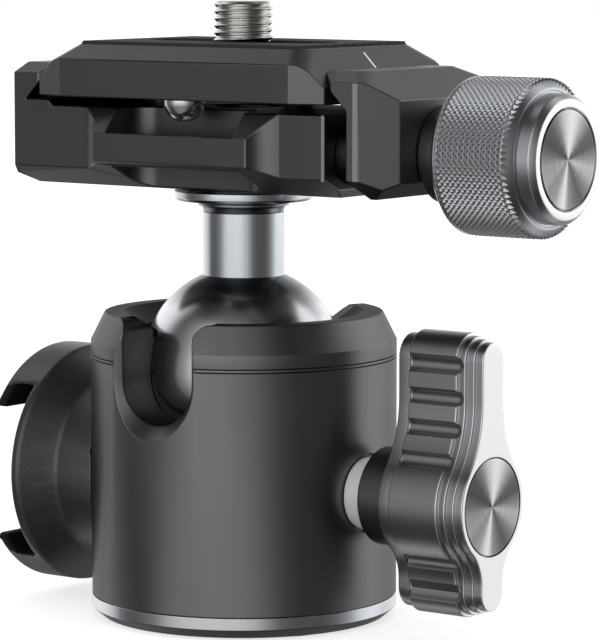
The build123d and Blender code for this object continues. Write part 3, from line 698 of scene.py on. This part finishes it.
# up and down: the two arms' round ends. profile: (place along X, swell over the outline, edge radius)
lever = {"hub": 5.75, "arm": 2.0, "up": 15.1, "down": 8.95, "upFillet": 12.0, "downFillet": 5.0,
         "step": 0.11, "rowStep": 0.16, "fluteWidth": 0.83, "fluteDepth": 0.72, "swell": 0.85,
         "flutes": (4.5, 7.9, 11.3, 14.7, -5.4, -8.8), "fluteStart": 23.62, "fluteEnd": 30.28,
         "face": 32.25, "seat": 5.22, "seatDepth": 0.6, "brightEdges": (29.62, 30.46, 31.36, 32.25),
         "brightWidth": 0.17,
         "profile": [(22.05, -0.3, 0), (22.05, 0.42, 0.18), (23.45, 0.42, 0.05), (23.45, 0.2, 0), (23.6, 0.2, 0),
                     (23.6, 0.85, 0.1), (29.62, 0.85, 0.2), (29.62, 0.53, 0.04), (30.46, 0.53, 0.2),
                     (30.46, 0.24, 0.04), (31.36, 0.24, 0.2), (31.36, -0.02, 0.04), (32.25, -0.02, 0.14),
                     (32.25, -0.6, 0)]}


# points round the lever's outer face with their outward normals, in (y, z)
def leverOutline():
    s = lever
    arm, hub = s["arm"], s["hub"]
    up = math.sqrt((hub + s["upFillet"]) ** 2 - (arm + s["upFillet"]) ** 2)
    down = math.sqrt((hub + s["downFillet"]) ** 2 - (arm + s["downFillet"]) ** 2)
    right = []

    def addArc(cy, cz, radius, start, end, sign):
        steps = max(2, int(math.radians(abs(end - start)) * radius / s["step"]))
        for k in range(steps + 1):
            a = math.radians(start + (end - start) * k / steps)
            right.append((cy + radius * math.cos(a), cz + radius * math.sin(a),
                          sign * math.cos(a), sign * math.sin(a)))

    addArc(0, s["up"], arm, 90, 0, 1)
    steps = int((s["up"] - up) / s["step"])
    for k in range(1, steps):
        right.append((arm, s["up"] + (up - s["up"]) * k / steps, 1, 0))
    meet = math.degrees(math.atan2(-up, -(arm + s["upFillet"])))
    addArc(arm + s["upFillet"], up, s["upFillet"], 180, 360 + meet, -1)
    low = math.degrees(math.atan2(up, arm + s["upFillet"]))
    high = math.degrees(math.atan2(-down, arm + s["downFillet"]))
    addArc(0, 0, hub, low, high, 1)
    addArc(arm + s["downFillet"], -down, s["downFillet"], 180 + high, 180, -1)
    addArc(0, -s["down"], arm, 0, -90, 1)
    left = [(-y, z, -ny, nz) for y, z, ny, nz in reversed(right)]
    ring = []
    for point in right + left:
        if not ring or math.hypot(point[0] - ring[-1][0], point[1] - ring[-1][1]) > s["step"] * 0.2:
            ring.append(point)
    if math.hypot(ring[0][0] - ring[-1][0], ring[0][1] - ring[-1][1]) < s["step"] * 0.2:
        ring.pop()
    return ring


# how deep the finger flutes are at a height over the axis and a place along X
def fluteAt(z, x):
    s = lever
    across = min(abs(z - middle) for middle in s["flutes"]) / s["fluteWidth"]
    along = max(0.0, (x - s["fluteEnd"] + s["fluteWidth"]) / s["fluteWidth"])
    return s["fluteDepth"] * math.sqrt(max(0.0, 1 - across ** 2 - along ** 2))


def makeLever():
    s = lever
    outline = leverOutline()
    profile = rounded(s["profile"], 5)
    fine = []
    for (x0, d0), (x1, d1) in zip(profile, profile[1:]):
        fluted = s["fluteStart"] < x1 < s["fluteEnd"] + 0.3
        parts = max(1, int(abs(x1 - x0) / s["rowStep"])) if fluted else 1
        fine += [(x0 + (x1 - x0) * k / parts, d0 + (d1 - d0) * k / parts) for k in range(parts)]
    rings = []
    for x, swell in fine + [profile[-1]]:
        ring = []
        for y, z, ny, nz in outline:
            reach = swell
            if s["fluteStart"] - 0.03 < x < s["fluteEnd"]:
                reach = min(swell, s["swell"] - fluteAt(z, x))
            ring.append((x, y + ny * reach, lockHeight + z + nz * reach))
        rings.append(ring)
    face, floor = s["face"], s["face"] - s["seatDepth"]
    seat = lathe("seat", [(0, floor), (s["seat"], floor), (s["seat"], face + 1), (0, face + 1)], "X", lockHeight, 128)
    body = smooth(cut(loft("lever", rings), seat), 24)

    def isBright(at, normal):   # the face is cut bright; the rounded edges of the steps take the same bright colour as painted highlights
        edge = any(e - s["brightWidth"] < at.x < e + 0.01 for e in s["brightEdges"]) and normal.x > 0.12
        return edge or (at.x > face - 0.02 and normal.x > 0.9)

    paint(body, "gunmetal", "leverFace", isBright)
    addPiece("lockLever", body, "lever_body", "gunmetal", "lock_lever")


makeLever()

cap = {"radius": 5.08, "edge": 0.14, "dish": 0.05}


def makeCap(name, node, end, low, height, body, material):
    s = cap
    line = rounded([(0, low, 0), (s["radius"], low, 0), (s["radius"], end, s["edge"]), (0, end - s["dish"], 0)])
    addPiece(name, smooth(lathe(name, line, "X", height, 128)), body, material, node)


makeCap("leverCap", "lock_cap", 32.25, 31.65, lockHeight, "lever_body", "spunLever")
print("lock ready")


ball = {"radius": 11.0, "stem": 4.4, "stemTop": 43.55, "groove": 4.3, "ring": 4.9, "ringLow": 44.3,
        "flangeLow": 44.85, "flange": 7.45, "top": 46.15, "flangeEdge": 0.3}


def makeBall():
    s = ball
    meet = math.acos(s["stem"] / s["radius"])
    border = ballCentre + s["radius"] * math.sin(meet)
    line = [(max(0, r), z) for r, z in arc(0, ballCentre, s["radius"], -90, math.degrees(meet), 90)]
    line[0] = (0, ballCentre - s["radius"])
    line += rounded([
        (s["stem"], border + 0.02, 0),
        (s["stem"], s["stemTop"], 0.05), (s["groove"], s["stemTop"] + 0.08, 0.02),
        (s["stem"] + 0.1, s["ringLow"] - 0.1, 0.3), (s["ring"], s["ringLow"], 0.05),
        (s["ring"], s["ringLow"] + 0.25, 0.05), (s["ring"] - 0.25, s["flangeLow"] - 0.15, 0.05),
        (s["ring"] - 0.1, s["flangeLow"], 0.05), (s["flange"] - s["flangeEdge"], s["flangeLow"], 0.12),
        (s["flange"], s["flangeLow"] + s["flangeEdge"], 0.12), (s["flange"], s["top"] - s["flangeEdge"], 0.12),
        (s["flange"] - s["flangeEdge"], s["top"], 0.12), (0, s["top"], 0)])
    mesh = smooth(lathe("ballStem", line, segments=200))
    paint(mesh, "polished", "ballSatin",
          lambda at, normal: at.z < border or s["stemTop"] < at.z < s["flangeLow"] + 0.02)
    addPiece("ballStem", mesh, "ball_body", "polished", "ball_stem")


makeBall()
print("ball ready")


# the deck under the plate gets painted shade between deckLow and deckHigh, and outside lipX as far as lipY
clamp = {"strips": 7, "rise": -0.5, "edge": 0.17, "facetArea": 8, "deckLow": 53.9, "deckHigh": 55.3,
         "lipX": 17, "lipY": -10.9, "end": -22.97, "endFoot": -19.27, "endLow": 46.2, "endHigh": 48.0,
         "lower": 0.6}


# the clamp, whose slanted facets beside the front recess are hollowed in a shallow curve
def makeClamp():
    s = clamp
    work = opened(cadCopy("clamp_body"))
    slanted = [f for f in work.faces if abs(f.normal.z) < 0.1 and 0.3 < abs(f.normal.x) < 0.95
               and f.normal.y < -0.3 and f.calc_area() > s["facetArea"] * mm * mm]
    for facet in slanted:
        normal = facet.normal.copy()
        across = Vector((-normal.y, normal.x, 0))
        reach = [v.co.dot(across) for v in facet.verts]
        low, high = min(reach), max(reach)
        pieces = [facet]
        for k in range(1, s["strips"]):
            at = across * (low + (high - low) * k / s["strips"])
            parts = {part for piece in pieces for part in (piece, *piece.edges, *piece.verts)}
            made = bmesh.ops.bisect_plane(work, geom=list(parts), plane_co=at, plane_no=across, dist=1e-8)
            pieces = [g for g in made["geom"] if isinstance(g, bmesh.types.BMFace)]
        for vert in {v for piece in pieces for v in piece.verts}:
            place = (vert.co.dot(across) - low) / (high - low)
            vert.co += normal * 4 * place * (1 - place) * s["rise"] * mm
    for vert in work.verts:   # the far end runs straight down to its foot
        x, y, z = vert.co / mm
        if abs(x - s["end"]) < 0.02 and abs(z - s["endHigh"]) < 0.02:
            vert.co.z -= s["lower"] * mm
        elif abs(x - s["endFoot"]) < 0.02 and abs(z - s["endLow"]) < 0.02:
            vert.co.x = s["end"] * mm
    mesh = bevelled(smooth(closed(work, "clamp"), 14), s["edge"], 20)

    def isShadedDeck(at, normal):
        lip = abs(at.x) > s["lipX"] and at.y > s["lipY"]
        return s["deckLow"] < at.z < s["deckHigh"] and (normal.z > 0.5 or lip)

    # painted shade on the deck that the plate hides
    paint(mesh, "blackAnodised", "paintedShade", isShadedDeck)
    addPiece("clamp_bodyPiece", mesh, "clamp_group", "blackAnodised", "clamp_body")


cornerFlat = {"jaw": (22.24, 22.88, 48.32, 58.24), "lug": (18.34, 18.7, 48.15, 54.9), "face": 10.99, "proud": 0.012}


# painted highlights: narrow bright strips along the upright corners of the jaw and of the lug beside it
def makeCornerFlats():
    s = cornerFlat
    for name, body, place, side in (("jawFlatFront", "jaw_body", "jaw", -1), ("jawFlatBack", "jaw_body", "jaw", 1),
                                    ("lugFlat", "clamp_group", "lug", -1)):
        x0, x1, z0, z1 = s[place]
        y0, y1 = sorted((side * s["face"], side * (s["face"] + s["proud"])))
        addPiece(name, boxBetween(name, (x0, y0, z0), (x1, y1, z1)), body, "paintedEdgeHighlight")


makeClamp()
dress("clamp_bolt", "clamp_group", "blackOxide", 0.08)
dress("clamp_stud", "clamp_group", "blackOxide", 0.1)
dressMitred("clamp_jaw", "jaw_body", "jawAnodised", 0.14, 1.0)
makeCornerFlats()
dress("jaw_guides", "jaw_body", "blackOxide", 0.1)
dress("knob_insert", "knob_body", "turnedBrass", 0.08)
dress("knob_collar", "knob_body", "blackAnodised", 0.2)
print("clamp ready")


knob = {"start": 29.35, "foot": 7.4, "collar": 8.15, "grip": 7.98, "gripStart": 30.25, "gripEnd": 38.1,
        "chamfer": 7.2, "groove": 6.9, "shoulder": 39.05, "boss": 6.65, "end": 41.1, "bore": 3.62, "boreEnd": 37.79,
        "seat": 5.22, "seatDepth": 0.6, "ripple": 0.05, "columns": 12, "around": 78, "height": 0.24,
        "tooth": 0.34, "toothTop": 0.04, "endLength": 1.7, "endPlace": 0.22}


def makeKnobBody():
    s = knob
    pitch = (s["gripEnd"] - s["gripStart"]) / s["columns"]
    grip, boss, rim, floor = s["grip"], s["boss"], s["shoulder"], s["end"] - s["seatDepth"]
    points = [(s["bore"], s["start"], 0), (s["foot"], s["start"], 0.15), (s["collar"], s["start"] + 0.7, 0.2),
              (s["collar"], s["gripStart"] - 0.06, 0.05), (grip, s["gripStart"], 0)]
    for k in range(s["columns"]):
        x = s["gripStart"] + k * pitch
        points += [(grip, x + pitch * 0.3, 0), (grip - 0.02, x + pitch * 0.5, 0), (grip, x + pitch * 0.7, 0),
                   (grip + s["ripple"], x + pitch, 0)]
    points += [(grip + 0.02, s["gripEnd"] + 0.05, 0.03), (grip - 0.03, s["gripEnd"] + 0.3, 0.12),
               (s["chamfer"], rim, 0.3), (s["groove"] + 0.05, rim + 0.03, 0.04), (s["groove"], rim - 0.1, 0),
               (boss, rim - 0.1, 0.04), (boss, s["end"] - 0.55, 0.25),
               (boss - 0.55, s["end"], 0.25), (s["seat"] + 0.12, s["end"], 0.06), (s["seat"], s["end"] - 0.12, 0),
               (s["seat"], floor, 0), (s["bore"], floor, 0), (0, floor, 0), (0, s["boreEnd"], 0),
               (s["bore"], s["boreEnd"], 0), (s["bore"], s["start"], 0)]
    mesh = smooth(lathe("knobBody", rounded(points, 4)[:-1], "X", knobHeight, 234, closedLine=True), 40)
    paint(mesh, "knobMetal", "leverFace", lambda at, normal: at.x > s["end"] - 0.12 and normal.x > 0.3)
    addPiece("knobBody", mesh, "knob_body", "knobMetal", "clamp_knob")


# a geometry node tree with named inputs, and the outputs of its first node
def nodeTree(name, wholes, lengths):
    tree = bpy.data.node_groups.new(name, "GeometryNodeTree")
    for way in ("INPUT", "OUTPUT"):
        tree.interface.new_socket("Geometry", in_out=way, socket_type="NodeSocketGeometry")
    for labels, kind in ((wholes, "Int"), (lengths, "Float"), (("Material",), "Material")):
        for label in labels:
            tree.interface.new_socket(label, in_out="INPUT", socket_type="NodeSocket" + kind)
    return tree, tree.nodes.new("NodeGroupInput").outputs


# ends a tree with one instance on each point, made real and given the tree's material
def standOnPoints(tree, given, piece, count, position, **turned):
    points = addNode(tree, "GeometryNodePoints", {"Count": count, "Position": position})
    stand = addNode(tree, "GeometryNodeInstanceOnPoints", {"Points": points.outputs[0], "Instance": piece, **turned})
    real = addNode(tree, "GeometryNodeRealizeInstances", {"Geometry": stand.outputs["Instances"]})
    painted = addNode(tree, "GeometryNodeSetMaterial", {"Geometry": real.outputs["Geometry"],
                                                        "Material": given["Material"]})
    addNode(tree, "NodeGroupOutput", {"Geometry": painted.outputs["Geometry"]})


def vectorOf(tree, **parts):
    return addNode(tree, "ShaderNodeCombineXYZ", parts).outputs["Vector"]


# the plain mesh that a node tree makes with these inputs
def runTree(tree, settings, material):
    settings["Material"] = finish[material]
    holder = placed(tree.name, bpy.data.meshes.new(tree.name))
    mod = holder.modifiers.new("made", "NODES")
    mod.node_group = tree
    for item in tree.interface.items_tree:
        if item.in_out == "INPUT" and item.name in settings:
            mod[item.identifier] = settings[item.name]
    mesh = evaluated(holder)
    drop(holder)
    mesh.materials.clear()
    mesh.materials.append(finish[material])
    return mesh


# pointed teeth in rows along the grip, one instance each, stood on the knob's radius
def makeKnurl():
    s = knob
    tree, given = nodeTree("knurl", ("Columns", "Around"), (
        "Pitch", "First", "Radius", "Axis Height", "Tooth Radius", "Tooth Top", "Tooth Height", "Tooth Length",
        "Row Shift"))

    def maths(operation, *values):
        return mathNode(tree, operation, *values)

    index = addNode(tree, "GeometryNodeInputIndex").outputs["Index"]
    column = maths("MODULO", index, given["Columns"])
    row = maths("ADD", maths("FLOOR", maths("DIVIDE", index, given["Columns"])), given["Row Shift"])
    angle = maths("DIVIDE", maths("MULTIPLY", row, 2 * math.pi), given["Around"])
    sine, cosine = maths("SINE", angle), maths("COSINE", angle)
    place = vectorOf(
        tree, X=maths("ADD", maths("MULTIPLY", maths("ADD", column, 0.5), given["Pitch"]), given["First"]),
        Y=maths("MULTIPLY", cosine, given["Radius"]),
        Z=maths("ADD", maths("MULTIPLY", sine, given["Radius"]), given["Axis Height"]))
    tooth = addNode(tree, "GeometryNodeMeshCone", {
        "Vertices": 4, "Radius Top": given["Tooth Top"], "Radius Bottom": given["Tooth Radius"],
        "Depth": given["Tooth Height"]}, fill_type="NGON")
    turn = addNode(tree, "FunctionNodeAlignEulerToVector", {"Vector": vectorOf(tree, Y=cosine, Z=sine)},
                   axis="Z", pivot_axis="X")
    standOnPoints(tree, given, tooth.outputs["Mesh"], maths("MULTIPLY", given["Columns"], given["Around"]), place,
                  Rotation=turn.outputs["Rotation"], Scale=vectorOf(tree, X=given["Tooth Length"], Y=1, Z=1))
    pitch = (s["gripEnd"] - s["gripStart"]) / s["columns"]
    rows = {"knobKnurl": {"Columns": s["columns"], "First": s["gripStart"] * mm},
            "knobKnurlBetween": {"Columns": s["columns"] - 1, "First": (s["gripStart"] + pitch / 2) * mm,
                                 "Row Shift": 0.5},
            "knobScallops": {"Columns": 1, "First": (s["gripEnd"] - pitch / 2 + s["endPlace"]) * mm,
                             "Tooth Length": s["endLength"], "Row Shift": 0.5}}
    for name, own in rows.items():
        mesh = runTree(tree, {
            "Around": s["around"], "Pitch": pitch * mm, "Axis Height": knobHeight * mm, "Tooth Length": 1.0,
            "Row Shift": 0.0, "Radius": (s["grip"] - 0.03) * mm, "Tooth Radius": s["tooth"] * mm,
            "Tooth Top": s["toothTop"] * mm, "Tooth Height": s["height"] * mm, **own}, "knobMetal")
        addPiece(name, mesh, "knob_body", "knobMetal")


makeKnobBody()
makeKnurl()
makeCap("knobCap", "knob_cap", 41.1, 40.5, knobHeight, "knob_body", "spunKnob")
print("knob ready")


dressMitred("qr_plate", "plate_body", "blackAnodised", 0.14, 1.3)
dress("screw_washer", "washer_body", "nylon", 0.05)

tick = {"x0": 15.73, "x1": 17.39, "y": 0.1, "width": 0.3, "bevelX": 19.0, "bevelZ": 57.65, "proud": 0.02}


# a thin painted line across the plate's bevel
def makeTick():
    s = tick
    half, rings = s["width"] / 2, []
    for lift in (-2 * s["proud"] / math.sqrt(2), s["proud"] / math.sqrt(2)):
        corners = ((s["x0"], -half), (s["x1"], -half), (s["x1"], half), (s["x0"], half))
        rings.append([(x + lift, s["y"] + y, s["bevelZ"] + s["bevelX"] - x + lift) for x, y in corners])
    piece = addPiece("plateTick", loft("plateTick", rings), "plate_body", "tickPaint")


makeTick()

pad = {"halfX": 14.45, "halfY": 9.7, "bottom": 61.5, "top": 61.85, "ribs": 12, "ribDepth": 0.22,
       "slotCentre": 8.2, "slotHalf": 3.55, "gap": 0.32}


# ribs along X on a thin sheet, cut where the screw's slot runs
def makePad():
    s = pad
    sheet = smooth(cadCopy("plate_pad"))
    low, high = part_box("plate_pad")
    for vert in sheet.vertices:
        if vert.co.z > (low.z + high.z) / 2:
            vert.co.z = high.z - s["ribDepth"] * mm
    tree, given = nodeTree("padRibs", ("Ribs",), ("Length", "Width", "Pitch", "First", "Height", "Middle"))
    index = addNode(tree, "GeometryNodeInputIndex").outputs["Index"]
    along = mathNode(tree, "ADD", mathNode(tree, "MULTIPLY", index, given["Pitch"]), given["First"])
    rib = addNode(tree, "GeometryNodeMeshCube", {
        "Size": vectorOf(tree, X=given["Length"], Y=given["Width"], Z=given["Height"])})
    standOnPoints(tree, given, rib.outputs["Mesh"], given["Ribs"], vectorOf(tree, Y=along, Z=given["Middle"]))
    pitch, height = 2 * s["halfY"] / s["ribs"], s["ribDepth"] + 0.05
    ribs = runTree(tree, {
        "Ribs": s["ribs"], "Length": 2 * s["halfX"] * mm, "Width": (pitch - s["gap"]) * mm, "Pitch": pitch * mm,
        "First": (-s["halfY"] + pitch / 2) * mm, "Height": height * mm, "Middle": (s["top"] - height / 2) * mm,
    }, "rubber")
    outline = arc(s["slotCentre"], 0, s["slotHalf"], -90, 90, 24)
    outline += arc(-s["slotCentre"], 0, s["slotHalf"], 90, 270, 24)
    slot = loft("slot", [[(x, y, z) for x, y in outline] for z in (s["bottom"] - 1, s["top"] + 1)])
    ribs = bevelled(cut(ribs, slot), 0.05, segments=2)
    for name, mesh in (("padSheet", sheet), ("padRibs", ribs)):
        mesh.materials.clear()
        addPiece(name, mesh, "plate_body", "rubber", "plate_pad")


makePad()

# flank and crest: how far round one turn the thread's tooth reaches, and where its point is cut off
thread = {"radius": 3.175, "depth": 0.33, "pitch": 0.76, "low": 61.85, "high": 66.1, "neck": 2.45,
          "headRadius": 5.5, "headLow": 56.15, "headHigh": 57.75, "around": 72, "perTurn": 12,
          "flank": 0.92, "crest": 0.9, "slotWidth": 1.4, "slotDepth": 0.8}


# a threaded shank on a flat slotted head
def makeCameraScrew():
    s = thread
    around, core = s["around"], s["radius"] - s["depth"]

    def threadRadius(z, share):   # the share of a turn round the shank
        phase = ((z - s["low"]) / s["pitch"] - share) % 1.0
        tooth = max(0.0, 1 - abs(phase - 0.5) * 2 / s["flank"])
        radius = core + s["depth"] * min(tooth, s["crest"]) / s["crest"]
        return min(radius, core - 0.1 + (s["high"] - z) * 1.1, s["neck"] + (z - s["low"] + 0.3) * 2.2)

    def ringOf(z, radii):
        turns = [2 * math.pi * k / around for k in range(around)]
        return [(radius * math.cos(a), radius * math.sin(a), z) for a, radius in zip(turns, radii)]

    rings = [ringOf(z, [s["neck"]] * around) for z in (s["headHigh"], s["low"] - 0.3)]
    rows = int((s["high"] - s["low"]) / s["pitch"] * s["perTurn"])
    for k in range(rows + 1):
        z = s["low"] + k * (s["high"] - s["low"]) / rows
        rings.append(ringOf(z, [threadRadius(z, n / around) for n in range(around)]))
    addPiece("cameraThread", smooth(loft("shank", rings), 50), "screw_body", "brightSteel", "camera_screw")
    head = lathe("head", rounded([(0, s["headLow"], 0), (s["headRadius"], s["headLow"], 0.25),
                                  (s["headRadius"], s["headHigh"], 0.15), (0, s["headHigh"], 0)]), segments=96)
    half, reach, low = s["slotWidth"] / 2, s["headRadius"] + 1, s["headLow"]
    head = cut(head, boxBetween("coin", (-reach, -half, low - 1), (reach, half, low + s["slotDepth"])))
    addPiece("cameraHead", smooth(head), "screw_body", "brightSteel", "camera_screw")


makeCameraScrew()

stop = {"y": 10.2, "radius": 2.25, "bottom": 53.55, "top": 55.93, "shank": 1.2, "shankTop": 59.55,
        "key": 0.85, "keyDepth": 0.9}


# two round-headed screws with a hexagon socket, hung under the plate
def makeStops():
    s = stop
    line = [(max(r, 0), z) for r, z in arc(0, s["bottom"] + s["radius"], s["radius"], -90, 0, 20)]
    line[0] = (0, s["bottom"])
    line += [(s["radius"], s["top"]), (s["shank"], s["top"]), (s["shank"], s["shankTop"]), (0, s["shankTop"])]
    low, high = s["bottom"] - 1, s["bottom"] + s["keyDepth"]
    for name, y in (("stopFront", -s["y"]), ("stopRear", s["y"])):
        key = lathe("key", [(0, low), (s["key"], low), (s["key"], high), (0, high)], segments=6)
        dome = cut(lathe(name, line, segments=72), key)
        dome.transform(Matrix.Translation((0, y * mm, 0)))
        addPiece(name, smooth(dome), "plate_body", "brightSteel", "stop_screws")


makeStops()
print("plate ready")


# around: levels at angles round the horizon, in degrees from the front. low, front and tall: levels from the
# bottom to the top of the room, the last two where their masks say 1
studio = {"floorSize": 4.0, "floorLevel": -0.0001, "floorColor": (0.6, 0.6, 0.6), "floorRough": 0.9,
          "floorGlow": 0.68, "brightest": 1.5, "plain": 0.85,
          "around": [(-90, 1.0), (-80, 0.72), (-70, 0.2), (-55, 0.14), (-43, 0.21), (-33, 0.31), (-22, 0.7),
                     (-8, 0.95), (14, 1.0), (32, 0.96), (45, 0.78), (54, 0.46), (63, 0.2), (76, 0.13),
                     (98, 0.12), (110, 0.2), (122, 0.46), (134, 0.88), (143, 1.1), (180, 1.2),
                     (195, 1.25), (205, 1.0), (228, 1.0), (240, 1.3), (269.9, 1.0)],
          "frontMask": [(-62, 0), (-50, 1), (56, 1), (66, 0)],
          "tallMask": [(-90, 1), (-68, 1), (-62, 0), (122, 0), (132, 1), (156, 1), (166, 0), (245, 0), (255, 1),
                       (269.9, 1)],
          "low": [(0.0, 0.26), (0.28, 0.26), (0.4, 0.8), (0.46, 1.0), (0.6, 1.0), (0.675, 0.8), (0.75, 0.45),
                  (0.8, 0.29), (0.875, 0.22), (1.0, 0.07)],
          "front": [(0.0, 0.26), (0.28, 0.26), (0.4, 0.8), (0.46, 1.0), (0.8, 1.0), (0.85, 0.75), (0.88, 0.35),
                    (0.91, 0.12), (1.0, 0.05)],
          "tall": [(0.0, 0.3), (0.15, 0.8), (0.25, 1.0), (0.85, 1.0), (0.92, 0.48), (1.0, 0.07)]}
lamps = {
    "front": {"way": 8, "rise": 6, "far": 0.9, "size": (0.9, 0.35), "power": 0.3},
    "right": {"way": 155, "rise": 8, "far": 0.9, "size": (0.7, 0.4), "power": 0.3},
}
lampAim = Vector((0, 0, 0.035))


# the direction that stands at this angle from the front, in degrees, and this far up
def wayTo(way, rise):
    a, b = math.radians(way), math.radians(rise)
    return Vector((math.sin(a) * math.cos(b), -math.cos(a) * math.cos(b), math.sin(b)))


# soft boxes in front, at the right and behind, with a darker room between them
def makeWorld():
    s = studio
    world = bpy.data.worlds.new("studio")
    world.use_nodes = True
    tree = world.node_tree
    coords = addNode(tree, "ShaderNodeTexCoord").outputs["Generated"]
    turn = addNode(tree, "ShaderNodeTexGradient", {"Vector": coords}, gradient_type="RADIAL").outputs["Fac"]
    upright = addNode(tree, "ShaderNodeSeparateXYZ", {"Vector": coords}).outputs["Z"]
    height = mapRange(tree, upright, 0, 1, -1, 1)

    def roundHorizon(stops, most=1.0):
        return ramp(tree, turn, [((way + 90) / 360, level) for way, level in stops], most)

    upward = ramp(tree, height, s["low"])
    for mask, profile in (("frontMask", "front"), ("tallMask", "tall")):
        upward = mixColor(tree, roundHorizon(s[mask]), upward, ramp(tree, height, s[profile]))
    mirrored = setInputs(tree, tree.nodes["Background"], {
        "Color": product(tree, roundHorizon(s["around"], s["brightest"]), upward), "Strength": s["brightest"]})
    plain = addNode(tree, "ShaderNodeBackground", {"Color": (1, 1, 1, 1), "Strength": s["plain"]})
    seen = addNode(tree, "ShaderNodeBackground", {"Color": (1, 1, 1, 1), "Strength": 1.0})
    path = addNode(tree, "ShaderNodeLightPath").outputs
    glossy = mathNode(tree, "MAXIMUM", path["Is Glossy Ray"], path["Is Transmission Ray"])
    both = mixShader(tree, glossy, plain.outputs["Background"], mirrored.outputs["Background"])
    both = mixShader(tree, path["Is Camera Ray"], both, seen.outputs["Background"])
    tree.links.new(both, tree.nodes["World Output"].inputs["Surface"])
    bpy.context.scene.world = world


def makeFloor():
    s = studio
    half = s["floorSize"] / 2
    mesh = bpy.data.meshes.new("floor")
    mesh.from_pydata([(-half, -half, 0), (half, -half, 0), (half, half, 0), (-half, half, 0)], [], [(0, 1, 2, 3)])
    floor = placed("floor", mesh)
    floor.location.z = s["floorLevel"]
    mat, tree, shader = newMaterial("floorPaper")
    setInputs(tree, shader, {"Base Color": rgba(s["floorColor"]), "Roughness": s["floorRough"]})
    paper = shader.outputs["BSDF"]
    glow = addNode(tree, "ShaderNodeEmission", {"Strength": s["floorGlow"]}).outputs["Emission"]
    lit = addNode(tree, "ShaderNodeAddShader", {0: paper, 1: glow}).outputs["Shader"]
    path = addNode(tree, "ShaderNodeLightPath").outputs
    clear = addNode(tree, "ShaderNodeBsdfTransparent").outputs["BSDF"]
    mix = mixShader(tree, path["Is Camera Ray"], paper, lit)
    mix = mixShader(tree, path["Is Glossy Ray"], mix, clear)   # metal mirrors the studio, not the paper under it
    tree.links.new(mix, tree.nodes["Material Output"].inputs["Surface"])
    mesh.materials.append(mat)


def makeLamps():
    for name, s in lamps.items():
        data = bpy.data.lights.new(name, "AREA")
        data.shape = "RECTANGLE"
        data.size, data.size_y = s["size"]
        data.energy = s["power"]
        lamp = placed(name, data)
        way = wayTo(s["way"], s["rise"])
        lamp.location = lampAim + way * s["far"]
        lamp.rotation_euler = (-way).to_track_quat("-Z", "Y").to_euler()


makeWorld()
makeFloor()
makeLamps()
bpy.context.scene.view_settings.view_transform = "Standard"
print("studio ready")
